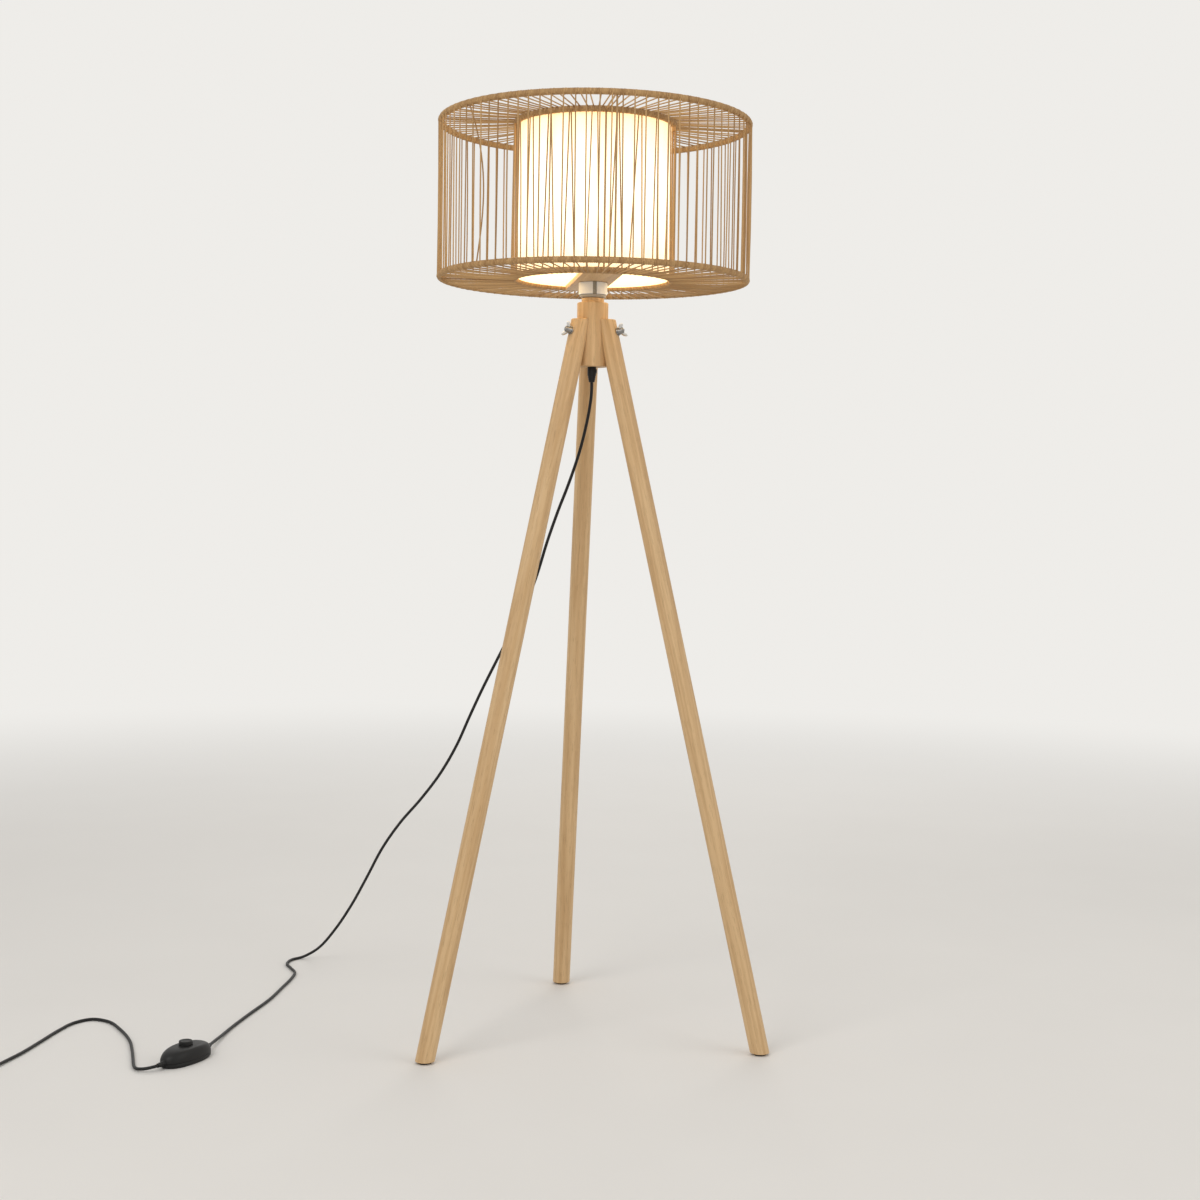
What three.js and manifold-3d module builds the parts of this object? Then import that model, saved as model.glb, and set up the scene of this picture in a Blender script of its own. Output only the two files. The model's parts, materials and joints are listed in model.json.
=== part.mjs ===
// Tripod floor lamp with a strung cord shade. Millimetres, +Z up.
// Every piece is a closed solid in its own named mesh. The lamp stands on its three feet at z = 0,
// with its rear leg towards +Y.
import * as THREE from 'three';
import { mergeVertices } from 'three/addons/utils/BufferGeometryUtils.js';
import Module from 'manifold-3d';

const wasm = await Module();
wasm.setup();

// Clearances
const GAP = 0.3;              // between two pieces that touch
const OVERRUN = 6;            // how far a cutting tool runs past what it cuts

// Sides of the round pieces, by their size
const LARGE_SIDES = 24;
const MIDDLE_SIDES = 20;
const SMALL_SIDES = 12;
const LEAST_SIDES = 6;

// Tripod
const HUB_BOTTOM = 1081;      // height of the hub's underside above the floor
const HUB_DIAMETER = 50;
const HUB_EDGE = 2;           // chamfer at the hub's ends
const NECK_DIAMETER = 36;
const NECK_HEIGHT = 7.5;
const HUB_BORE = 8;           // passage for the lead
const LEG_DIAMETER = 30;
const LEG_SEAT_HEIGHT = 75;   // leg tops above the hub's underside
const HUB_HEAD_HEIGHT = 27;   // hub's shoulder above the leg tops
const LEG_TOP_INSET = 1.6;    // leg axis inside the hub's surface at the leg's top
const FOOT_CIRCLE_RADIUS = 304;
const LEG_COUNT = 3;
const PAD_DIAMETER = 20;
const PAD_THICKNESS = 3;

// Leg fixings
const BOLT_DIAMETER = 6;
const BOLT_DROP = 23;         // where the bolt crosses the leg's axis, below the leg's top
const BOLT_EMBED = 21;        // length inwards from the leg's axis
const BOLT_PROUD = 1.5;       // bolt end past the wing nut
const WASHER_DIAMETER = 14;
const WASHER_THICKNESS = 1.2;
const NUT_BASE_DIAMETER = 12.5;
const NUT_TOP_DIAMETER = 9.5;
const NUT_HEIGHT = 8;
const WING_SPAN = 22;
const WING_HEIGHT = 13;       // wing tips above the nut's seat
const WING_THICKNESS = 2.2;
const WING_WIDTH = 5.4;
const NUT_TURN_DEGREES = { rear: 40, left: 65, right: -55 }; // how the wings happen to stand

// Lampholder, E27
const NIPPLE_DIAMETER = 10;
const NIPPLE_BORE = 7;
const NIPPLE_EMBED = 22;      // length in the hub
const NIPPLE_LENGTH = 30;
const NIPPLE_NUT_FLATS = 14;
const NIPPLE_NUT_THICKNESS = 3;
const CAP_DIAMETER = 42;
const CAP_HEIGHT = 4.6;
const CAP_WALL = 2.2;
const CAP_EDGE = 3;
const SHELL_DIAMETER = 39.6;
const SHELL_HEIGHT = 53.4;
const SHELL_WALL = 2.5;
const INSERT_LIFT = 3.4;      // room under the insert for the nipple's end and its nut
const INSERT_HEIGHT = 9.5;
const INSERT_DIP = 1.5;
const SLEEVE_BORE = 27;
const SLEEVE_WALL = 0.6;
const SLEEVE_HEIGHT = 27;
const SUPPORT_RING_DIAMETER = 46;
const SUPPORT_RING_HEIGHT = 19.4;
const SUPPORT_RING_SLOT = 6.6; // at the front
const SHADE_RING_DIAMETER = 56;
const SHADE_RING_HEIGHT = 8;

// Bulb, A60
const BULB_DIAMETER = 60;
const BULB_LENGTH = 108;
const BULB_WALL = 1.2;
const BULB_BASE_DIAMETER = 26;
const BULB_BASE_HEIGHT = 24;
const BULB_TIP_DIAMETER = 9;
const BULB_TIP_HEIGHT = 3.5;
const BULB_SIDES = 16;

// Shade
const SHADE_DIAMETER = 500;
const DRUM_RISE = 244.5;      // between the centres of the bottom and top rings
const INNER_RING_RADIUS = 125.6;
const RING_FACETS = 44;       // each facet carries two strings
const WIRE_DIAMETER = 3.5;
const SPOKE_DIAMETER = 3;
const WIRE_SIDES = 4;
const SPOKES = 4;
const WRAP_RADIUS = 5;        // outside of the cord wound round a wire
const WRAP_STEPS = 3;         // of the winding's outside
const WRAP_INSIDE_STEPS = 2;
const WRAP_START_DEGREES = -60; // in the ring's section, where outwards is 0 and up is 90
const WRAP_END_DEGREES = 150;
const STRING_WIDTH = 2;
const STRING_THICKNESS = 1.6;
const STRING_SLANT = 2.6;     // how far a string's end strays sideways
const STRING_SEAT_SHARE = 0.73; // of the winding's radius: a string's middle outside the wire's
const STRING_LIFT_SHARE = 0.54; // a radial string's middle above the inner wire's
const DIFFUSER_INSET = 3.2;   // diffuser's outside, inwards from the inner wires' centres
const DIFFUSER_WALL = 1;
const BOARD_WIDTH = 62;
const BOARD_THICKNESS = 8;
const BOARD_END_GAP = 1;      // between the board's ends and the windings
const TAB_WIDTH = 24;
const TAB_THICKNESS = 1.5;
const TAB_REACH = 20;         // of a board tab, inwards from the wire's centre
const LUG_WIDTH = 10;
const LUG_REACH = 6;          // of a lug under the diffuser, inwards from the wire's centre
const SCREW_DIAMETER = 3.5;
const SCREW_LENGTH = 6;       // below the tab
const SCREW_HEAD_DIAMETER = 7;
const SCREW_HEAD_HEIGHT = 2.2;
const SCREW_CROWN_SHARES = [0.9, 0.7]; // radius and height where the head starts to round

// Mains lead
const CORD_DIAMETER = 5;
const CORD_SIDES = 8;
const UPPER_STEPS = 54;
const LOWER_STEPS = 24;
const PLUG_LEAD_STEPS = 3;
const GRIP_DIAMETER = 14;
const GRIP_BODY = 13;
const GRIP_LENGTH = 24;
const GRIP_TIP_DIAMETER = 9.6;
const GRIP_SCREW_DIAMETER = 5;
const GRIP_SCREW_PROUD = 1.6;
const COIL_RADIUS = 27.5;     // to the middle of the turns
const COIL_TURNS = 4;
const COIL_PITCH = 5.6;       // between neighbouring turns, and between the two layers
const COIL_STEPS = 24;        // per turn
const COIL_SIDES = 6;
const TIE_WIDTH = 6;
const TIE_WALL = 0.8;
const COIL_CLIMB_TURNS = 0.5; // of the climb to the second layer

// Foot switch
const SWITCH_LENGTH = 98;
const SWITCH_WIDTH = 46;
const SWITCH_BASE = 7;
const SWITCH_HEIGHT = 26;
const SWITCH_WALL = 2;
const SWITCH_SIDES = 24;
const SWITCH_FOOT_SHARE = 0.96; // the base's underside against its rim
const SWITCH_SQUARENESS = 2.3; // exponent of the outline's superellipse
const BUTTON_DIAMETER = 21;
const BUTTON_PROUD = 6;
const BUTTON_TRAVEL = 3;
const BUTTON_SKIRT = 5;       // button length kept inside the cover
const BUTTON_CROWN_SHARES = [0.85, 0.45]; // radii left at the crown's shoulder and top
const BLOCK_LENGTH = 46;
const BLOCK_WIDTH = 20;
const CORD_ENTRY_HEIGHT = 9;  // lead axis above the floor where it enters the switch

// Plug
const PLUG_LENGTH = 36;
const PLUG_WIDTH = 26;
const PLUG_THICKNESS = 13.7;
const PLUG_RELIEF = 20;
const PIN_DIAMETER = 4;
const PIN_LENGTH = 19;
const PIN_SPACING = 18.6;
const PIN_EMBED = 5;
const PLUG_FACE_SHARE = 0.8;  // width left at the plug's face
const RELIEF_SHARES = [0.62, 0.95]; // radii of the plug's relief in lead diameters

// The lead's route, x y z from the lamp's axis: the hanging stretch and its run to the switch
const UPPER_ROUTE = [
  [0, 0, 1056.4], [0, 0, 1046], [-0.5, 0.5, 1034], [-3, 3, 1012], [-8, 9, 982], [-17, 20, 941],
  [-31, 36, 893], [-46, 53, 848], [-61, 70, 798], [-76, 87, 741], [-93, 107, 690], [-115, 132, 640],
  [-137, 157, 590], [-158, 181, 541], [-177, 203, 493], [-197, 226, 441], [-223, 256, 388],
  [-255, 293, 337], [-290, 333, 288], [-321, 369, 235], [-347, 399, 178], [-374, 429, 121],
  [-405, 464, 66], [-436, 500, 23], [-463, 514, 4.5], [-484, 499, 2.8], [-492, 468, 2.8], [-484, 436, 2.8],
  [-476, 404, 2.8], [-480, 366, 2.8], [-495, 300, 2.8], [-514, 222, 2.8], [-543, 135, 2.8],
  [-566, 62, 2.9], [-580, 6, 4.5], [-588.5, -35, 7.6], [-593.5, -58, 8.9], [-596.2, -70.2, 9],
];
// From the switch to the coil
const LOWER_ROUTE = [
  [-655.8, -149.8, 9], [-660, -155.4, 8.9], [-666.9, -161.3, 8.2], [-676.1, -163.8, 6.8],
  [-685.3, -162, 5.2], [-692.9, -156.3, 3.9], [-697.6, -147.9, 3.1], [-701.5, -132, 2.8],
  [-706, -100, 2.8], [-712, -58, 2.8], [-723, 0, 2.8], [-745, 62, 2.8],
  [-769, 108, 2.8], [-797, 124, 2.8], [-822, 106, 2.8], [-842, 60, 2.8], [-858, 8, 2.8],
  [-878, -56, 3.1], [-903, -119, 3.7], [-919, -162, 3.9], [-921.8, -169.5, 3.9],
];
const COIL_HEADING = [-0.35, -0.937]; // unit direction of the lead where it meets the coil
const PLUG_DROP_RUN = 34;             // lead between the coil and the plug's relief
const COIL_REST = TIE_WALL + 2 * GAP + CORD_DIAMETER / 2; // lead axis above the floor in the coil

// Derived heights, from the floor upwards
const legTop = HUB_BOTTOM + LEG_SEAT_HEIGHT;
const hubTop = legTop + HUB_HEAD_HEIGHT;
const neckTop = hubTop + NECK_HEIGHT;
const capBottom = neckTop + GAP;
const capTop = capBottom + CAP_HEIGHT;
const shellBottom = capTop + GAP;
const insertBottom = shellBottom + INSERT_LIFT;
const supportBottom = shellBottom;
const boardBottom = supportBottom + SUPPORT_RING_HEIGHT + GAP;
const boardTop = boardBottom + BOARD_THICKNESS;
const bottomRingHeight = boardBottom + WRAP_RADIUS;
const topRingHeight = bottomRingHeight + DRUM_RISE;

// Derived radii and the leg's slant
const hubRadius = HUB_DIAMETER / 2;
const legRadius = LEG_DIAMETER / 2;
const legTopRadius = hubRadius - LEG_TOP_INSET;
const legSlope = (FOOT_CIRCLE_RADIUS - legTopRadius) / legTop;
const splay = Math.atan(legSlope);
const facetAngle = (2 * Math.PI) / RING_FACETS;
const facetShare = Math.cos(facetAngle / 2);   // a facet's middle against its corners
const outerRingRadius = SHADE_DIAMETER / 2 - WRAP_RADIUS;
const stringQuarter = facetAngle / 4;          // the two strings of a facet stand at its quarters
const wireRadius = WIRE_DIAMETER / 2;

// The lamp is centred on its own box, so the axis lies a little in front of the origin
const rearReach = FOOT_CIRCLE_RADIUS - legSlope * (PAD_THICKNESS + GAP) + legRadius / Math.cos(splay);
const frontReach = (SHADE_DIAMETER / 2) * facetShare;
const axisShift = (rearReach - frontReach) / 2;

const radians = THREE.MathUtils.degToRad;

// Materials

const looks = {
  wood: { color: 0xd8b485, roughness: 0.55, metalness: 0 },
  cord: { color: 0xc39a63, roughness: 0.8, metalness: 0 },
  steel: { color: 0xc9ccd0, roughness: 0.25, metalness: 1 },
  framePaint: { color: 0xb08b5a, roughness: 0.5, metalness: 0.6 },
  brass: { color: 0xc8a24a, roughness: 0.35, metalness: 1 },
  white: { color: 0xf1eee6, roughness: 0.4, metalness: 0 },
  black: { color: 0x151515, roughness: 0.5, metalness: 0 },
  film: { color: 0xf6ecd6, roughness: 0.8, metalness: 0 },
  glass: { color: 0xfdf6e6, roughness: 0.2, metalness: 0 },
};

function named(name, look, geometry) {
  const mesh = new THREE.Mesh(geometry, new THREE.MeshStandardMaterial(looks[look]));
  mesh.name = name;
  return mesh;
}

// Closed solids

// Merges shared corners, drops faces without area and turns the faces outwards.
function closed(geometry) {
  const bare = new THREE.BufferGeometry();
  bare.setAttribute('position', geometry.getAttribute('position').clone());
  if (geometry.index) bare.setIndex(Array.from(geometry.index.array));
  const merged = mergeVertices(bare);
  const place = merged.getAttribute('position');
  const kept = [];
  let volume = 0;
  const [a, b, c] = [new THREE.Vector3(), new THREE.Vector3(), new THREE.Vector3()];
  for (let i = 0; i < merged.index.count; i += 3) {
    const [p, q, r] = [0, 1, 2].map((k) => merged.index.getX(i + k));
    if (p === q || q === r || r === p) continue;
    kept.push(p, q, r);
    a.fromBufferAttribute(place, p);
    b.fromBufferAttribute(place, q);
    c.fromBufferAttribute(place, r);
    volume += a.dot(b.cross(c));
  }
  if (volume < 0) kept.reverse();
  merged.setIndex(kept);
  return merged;
}

function solid(geometry) {
  const whole = closed(geometry);
  return new wasm.Manifold(new wasm.Mesh({
    numProp: 3,
    vertProperties: new Float32Array(whole.getAttribute('position').array),
    triVerts: new Uint32Array(whole.index.array),
  }));
}

function skin(manifold) {
  const mesh = manifold.getMesh();
  const geometry = new THREE.BufferGeometry();
  geometry.setAttribute('position', new THREE.BufferAttribute(mesh.vertProperties, 3));
  geometry.setIndex(Array.from(mesh.triVerts));
  return geometry;
}

// Fuses a list of geometries into one.
function fused(geometries) {
  return geometries.map(solid).reduce((whole, next) => whole.add(next));
}

function cut(geometry, tools) {
  return skin(tools.map(solid).reduce((whole, tool) => whole.subtract(tool), solid(geometry)));
}

// A profile of [radius, height] pairs turned round Z. Its first corner column lies half a step
// before -Y, so that a facet's middle faces -Y.
function turned(profile, sides) {
  const points = profile.map(([radius, height]) => new THREE.Vector2(radius, height));
  const lathe = new THREE.LatheGeometry(points, sides, -Math.PI / sides);
  return closed(lathe.rotateX(Math.PI / 2));
}

function looped(profile, sides) {
  return turned([...profile, profile[0]], sides);
}

// An upright tube wall between two heights.
function pipe(outer, inner, low, high, sides) {
  return looped([[inner, low], [outer, low], [outer, high], [inner, high]], sides);
}

function rod(radius, low, high, sides) {
  return turned([[0, low], [radius, low], [radius, high], [0, high]], sides);
}

function block(width, depth, low, high) {
  return new THREE.BoxGeometry(width, depth, high - low).translate(0, 0, (low + high) / 2);
}

// A round bar between two points.
function bar(from, to, radius, sides) {
  const [start, end] = [new THREE.Vector3(...from), new THREE.Vector3(...to)];
  const way = end.clone().sub(start);
  const shape = rod(radius, 0, way.length(), sides);
  const turn = new THREE.Quaternion().setFromUnitVectors(new THREE.Vector3(0, 0, 1), way.normalize());
  return shape.applyQuaternion(turn).translate(start.x, start.y, start.z);
}

// Tripod

// A leg in the upright plane of its group, slanting outwards to +Y, between two heights.
function legShape(radius, low, high, sides) {
  const axisLength = (high + 2 * LEG_DIAMETER) / Math.cos(splay);
  const dowel = new THREE.CylinderGeometry(radius, radius, axisLength, sides);
  dowel.rotateX(Math.PI / 2);
  dowel.translate(0, 0, axisLength / 2 - LEG_DIAMETER);
  dowel.rotateX(splay);
  dowel.translate(0, FOOT_CIRCLE_RADIUS, 0);
  const slab = block(2 * SHADE_DIAMETER, 2 * SHADE_DIAMETER, low, high);
  return solid(dowel).intersect(solid(slab));
}

const boltHeight = legTop - BOLT_DROP;
const boltAxisRadius = FOOT_CIRCLE_RADIUS - legSlope * boltHeight;
const nutSeat = legRadius + GAP + WASHER_THICKNESS + GAP;
const boltEnd = nutSeat + NUT_HEIGHT + BOLT_PROUD;

// A group whose +Z is the bolt's own axis, pointing outwards from the leg's axis.
function boltFrame() {
  const frame = new THREE.Group();
  frame.position.set(0, boltAxisRadius, boltHeight);
  frame.rotation.x = splay - Math.PI / 2;
  return frame;
}

// The clearance hole of a hanger bolt, in the leg's group.
function boltHole() {
  const hole = rod(BOLT_DIAMETER / 2 + GAP, -BOLT_EMBED - GAP, LEG_DIAMETER, SMALL_SIDES);
  const frame = boltFrame();
  frame.updateMatrix();
  return hole.applyMatrix4(frame.matrix);
}

function wingShape() {
  const tip = WING_SPAN / 2;
  const root = NUT_TOP_DIAMETER / 2 - WING_THICKNESS / 2;
  const foot = NUT_HEIGHT / 4;
  const outline = new THREE.Shape();
  outline.moveTo(root, foot);
  outline.quadraticCurveTo(tip - WING_WIDTH / 3, foot, tip, WING_HEIGHT - WING_WIDTH / 2);
  outline.quadraticCurveTo(tip, WING_HEIGHT, tip - WING_WIDTH / 2, WING_HEIGHT);
  outline.quadraticCurveTo(tip - WING_WIDTH, WING_HEIGHT, root, NUT_HEIGHT - WING_THICKNESS / 2);
  const wing = new THREE.ExtrudeGeometry(outline, {
    depth: WING_THICKNESS, bevelEnabled: false, curveSegments: 3,
  });
  return wing.translate(0, 0, -WING_THICKNESS / 2).rotateX(Math.PI / 2);
}

function wingNut(side) {
  const boss = turned([
    [0, 0], [NUT_BASE_DIAMETER / 2, 0], [NUT_BASE_DIAMETER / 2, NUT_HEIGHT / 4],
    [NUT_TOP_DIAMETER / 2, NUT_HEIGHT], [0, NUT_HEIGHT],
  ], SMALL_SIDES);
  const wings = [0, Math.PI].map((turn) => wingShape().rotateZ(turn));
  const bore = rod(BOLT_DIAMETER / 2 + GAP, -OVERRUN, NUT_HEIGHT + OVERRUN, SMALL_SIDES);
  const whole = fused([boss, ...wings]).subtract(solid(bore));
  return skin(whole).rotateZ(radians(NUT_TURN_DEGREES[side])).translate(0, 0, nutSeat);
}

function leg(side, turn) {
  const group = new THREE.Group();
  group.rotation.z = turn;
  const dowel = legShape(legRadius, PAD_THICKNESS + GAP, legTop, MIDDLE_SIDES).subtract(solid(boltHole()));
  group.add(named(`${side}_leg`, 'wood', skin(dowel)));

  const pad = rod(PAD_DIAMETER / 2, 0, PAD_THICKNESS, MIDDLE_SIDES);
  pad.translate(0, FOOT_CIRCLE_RADIUS - legSlope * PAD_THICKNESS, 0);
  group.add(named(`${side}_foot_pad`, 'black', pad));

  const fixing = boltFrame();
  const bolt = rod(BOLT_DIAMETER / 2, -BOLT_EMBED, boltEnd, SMALL_SIDES);
  const washer = pipe(WASHER_DIAMETER / 2, BOLT_DIAMETER / 2 + GAP, legRadius + GAP, nutSeat - GAP,
    MIDDLE_SIDES);
  fixing.add(named(`${side}_hanger_bolt`, 'steel', bolt));
  fixing.add(named(`${side}_washer`, 'steel', washer));
  fixing.add(named(`${side}_wing_nut`, 'steel', wingNut(side)));
  group.add(fixing);
  return group;
}

function hub() {
  const [outside, edge, neck] = [hubRadius, HUB_EDGE, NECK_DIAMETER / 2];
  const [lead, seat] = [HUB_BORE / 2, NIPPLE_DIAMETER / 2 + GAP];
  const nippleFloor = neckTop - NIPPLE_EMBED - GAP;
  const body = looped([
    [lead, HUB_BOTTOM], [outside - edge / 2, HUB_BOTTOM], [outside, HUB_BOTTOM + edge / 2],
    [outside, hubTop - edge], [outside - edge, hubTop], [neck, hubTop], [neck, neckTop],
    [seat, neckTop], [seat, nippleFloor], [lead, nippleFloor],
  ], LARGE_SIDES);
  const tools = [];
  for (let k = 0; k < LEG_COUNT; k += 1) {
    const turn = (k * 2 * Math.PI) / LEG_COUNT;
    const seatShape = legShape(legRadius + GAP, HUB_BOTTOM - OVERRUN, legTop + GAP, MIDDLE_SIDES);
    tools.push(skin(seatShape).rotateZ(turn), boltHole().rotateZ(turn));
  }
  return named('hub', 'wood', cut(body, tools));
}

// Lampholder

function lampholder() {
  const group = new THREE.Group();
  const nippleBottom = neckTop - NIPPLE_EMBED;
  const nippleSeat = NIPPLE_DIAMETER / 2 + GAP;
  const nipple = pipe(NIPPLE_DIAMETER / 2, NIPPLE_BORE / 2, nippleBottom, nippleBottom + NIPPLE_LENGTH,
    SMALL_SIDES);
  group.add(named('nipple', 'steel', nipple));

  const capFloor = capBottom + CAP_WALL;
  const nutTop = capFloor + GAP + NIPPLE_NUT_THICKNESS;
  const hexagon = rod(NIPPLE_NUT_FLATS / Math.sqrt(3), capFloor + GAP, nutTop, LEAST_SIDES);
  const nutBore = rod(nippleSeat, capFloor, nutTop + OVERRUN, SMALL_SIDES);
  group.add(named('nipple_nut', 'steel', cut(hexagon, [nutBore])));

  const [capRadius, capInside] = [CAP_DIAMETER / 2, CAP_DIAMETER / 2 - CAP_WALL];
  group.add(named('holder_cap', 'white', looped([
    [nippleSeat, capBottom], [capRadius - CAP_EDGE, capBottom],
    [capRadius - CAP_EDGE / 3, capBottom + CAP_EDGE / 3], [capRadius, capBottom + CAP_EDGE],
    [capRadius, capTop], [capInside, capTop], [capInside, capFloor], [nippleSeat, capFloor],
  ], LARGE_SIDES)));

  const shellInside = SHELL_DIAMETER / 2 - SHELL_WALL;
  const shell = pipe(SHELL_DIAMETER / 2, shellInside, shellBottom, shellBottom + SHELL_HEIGHT,
    LARGE_SIDES);
  group.add(named('holder_shell', 'white', shell));

  const insertTop = insertBottom + INSERT_HEIGHT;
  const insertRadius = shellInside - GAP;
  group.add(named('holder_insert', 'white', turned([
    [0, insertBottom], [insertRadius, insertBottom], [insertRadius, insertTop],
    [BULB_TIP_DIAMETER, insertTop], [BULB_TIP_DIAMETER, insertTop - INSERT_DIP], [0, insertTop - INSERT_DIP],
  ], LARGE_SIDES)));

  const sleeveBottom = insertTop + GAP;
  group.add(named('thread_sleeve', 'brass', pipe(SLEEVE_BORE / 2 + SLEEVE_WALL, SLEEVE_BORE / 2,
    sleeveBottom, sleeveBottom + SLEEVE_HEIGHT, LARGE_SIDES)));

  const ringBore = SHELL_DIAMETER / 2 + GAP;
  const supportTop = supportBottom + SUPPORT_RING_HEIGHT;
  const supportRing = pipe(SUPPORT_RING_DIAMETER / 2, ringBore, supportBottom, supportTop, LARGE_SIDES);
  const slot = block(SUPPORT_RING_SLOT, SUPPORT_RING_DIAMETER, supportBottom - OVERRUN, supportTop + OVERRUN);
  slot.translate(0, -SUPPORT_RING_DIAMETER / 2, 0);
  group.add(named('support_ring', 'white', cut(supportRing, [slot])));
  group.add(named('shade_ring', 'white', pipe(SHADE_RING_DIAMETER / 2, ringBore,
    boardTop + GAP, boardTop + GAP + SHADE_RING_HEIGHT, LARGE_SIDES)));
  return group;
}

// Bulb

const bulbTipBottom = insertBottom + INSERT_HEIGHT - INSERT_DIP + GAP;
const bulbBaseTop = bulbTipBottom + BULB_TIP_HEIGHT + BULB_BASE_HEIGHT;

// The envelope's outline from its open neck to its crown, as shares of the height above the
// base and of the radius.
const BULB_OUTLINE_SHARES = [
  [0, 0.43], [0.16, 0.52], [0.34, 0.8], [0.5, 0.97], [0.64, 1], [0.8, 0.9], [0.93, 0.58], [1, 0],
];

function bulb() {
  const group = new THREE.Group();
  const [baseRadius, tipRadius] = [BULB_BASE_DIAMETER / 2, BULB_TIP_DIAMETER / 2];
  const glassBottom = bulbBaseTop + GAP;
  const glassHeight = bulbTipBottom + BULB_LENGTH - glassBottom;
  const outside = BULB_OUTLINE_SHARES.map(([up, out]) => [
    (out * BULB_DIAMETER) / 2, glassBottom + up * glassHeight]);
  const inside = BULB_OUTLINE_SHARES.map(([up, out]) => [
    Math.max((out * BULB_DIAMETER) / 2 - BULB_WALL, 0), glassBottom + up * (glassHeight - BULB_WALL)]);
  group.add(named('bulb_glass', 'glass', looped([...outside, ...inside.reverse()], BULB_SIDES)));
  group.add(named('bulb_base', 'steel', turned([
    [0, bulbTipBottom], [tipRadius, bulbTipBottom], [tipRadius, bulbTipBottom + BULB_TIP_HEIGHT / 3],
    [baseRadius, bulbTipBottom + BULB_TIP_HEIGHT], [baseRadius, bulbBaseTop], [0, bulbBaseTop],
  ], MIDDLE_SIDES)));
  return group;
}

// Shade

// The open section of the cord wound round a wire, in [outwards, up] from the wire's centre.
// "up" is -1 on a bottom ring, which is the top ring's mirror image.
function wrapSection(up) {
  const arc = (radius, steps) => {
    const points = [];
    for (let k = 0; k <= steps; k += 1) {
      const angle = radians(WRAP_START_DEGREES + (k * (WRAP_END_DEGREES - WRAP_START_DEGREES)) / steps);
      points.push([radius * Math.cos(angle), up * radius * Math.sin(angle)]);
    }
    return points;
  };
  const halfStep = radians((WRAP_END_DEGREES - WRAP_START_DEGREES) / WRAP_INSIDE_STEPS / 2);
  const inside = arc((wireRadius + GAP) / Math.cos(halfStep), WRAP_INSIDE_STEPS);
  return [...arc(WRAP_RADIUS, WRAP_STEPS), ...inside.reverse()];
}

function wire(radius, height) {
  const section = [];
  for (let k = 0; k < WIRE_SIDES; k += 1) {
    const angle = (k * 2 * Math.PI) / WIRE_SIDES;
    section.push([radius + wireRadius * Math.cos(angle), height + wireRadius * Math.sin(angle)]);
  }
  return looped(section, RING_FACETS);
}

// A spread of fixed, uneven values between -1 and 1, so that the strings don't look ruled.
function stray(number) {
  const value = Math.sin(number * 12.9898) * 43758.5453;
  return 2 * (value - Math.floor(value)) - 1;
}

const outerFacet = outerRingRadius * facetShare;
const innerFacet = INNER_RING_RADIUS * facetShare;
const stringOffset = STRING_SEAT_SHARE * WRAP_RADIUS;
const stringLift = STRING_LIFT_SHARE * WRAP_RADIUS;
const stringClear = STRING_THICKNESS / 2 + GAP; // between a free end and the winding it meets

// Sideways place of a string on a ring, at a quarter of its facet.
function quarter(ringRadius, side) {
  return side * ringRadius * Math.tan(stringQuarter);
}

// The four edges of a string that runs from its root to its free end, each as two points.
function stringEdges(root, end) {
  const along = end.clone().sub(root).normalize();
  const across = new THREE.Vector3(1, 0, 0).addScaledVector(along, -along.x).normalize();
  const through = along.clone().cross(across);
  return [[-1, -1], [1, -1], [1, 1], [-1, 1]].map(([w, t]) => {
    const corner = across.clone().multiplyScalar((w * STRING_WIDTH) / 2)
      .addScaledVector(through, (t * STRING_THICKNESS) / 2);
    return [root.clone().add(corner), end.clone().add(corner)];
  });
}

// A list of triangles, each wound so that it faces the way it is told.
class Skin {
  constructor() {
    this.places = [];
  }

  face(a, b, c, outwards) {
    const normal = b.clone().sub(a).cross(c.clone().sub(a));
    this.places.push(...(normal.dot(outwards) > 0 ? [a, b, c] : [a, c, b]));
  }

  quad(a, b, c, d, outwards) {
    this.face(a, b, c, outwards);
    this.face(a, c, d, outwards);
  }

  // Triangles from one point to each stretch of a chain.
  fan(point, chain, outwards) {
    chain.slice(1).forEach((next, k) => this.face(point, chain[k], next, outwards));
  }

  geometry() {
    const geometry = new THREE.BufferGeometry().setFromPoints(this.places);
    geometry.setIndex(this.places.map((place, k) => k));
    return closed(geometry);
  }
}

// A corner of a winding's section on one of the columns between its facets. Facet k lies
// between the columns k and k + 1, and the middle of facet 0 faces -Y.
function columnPoint([radius, height], column) {
  const angle = ((column % RING_FACETS) - 0.5) * facetAngle;
  return new THREE.Vector3(radius * Math.sin(angle), -radius * Math.cos(angle), height);
}

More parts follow.
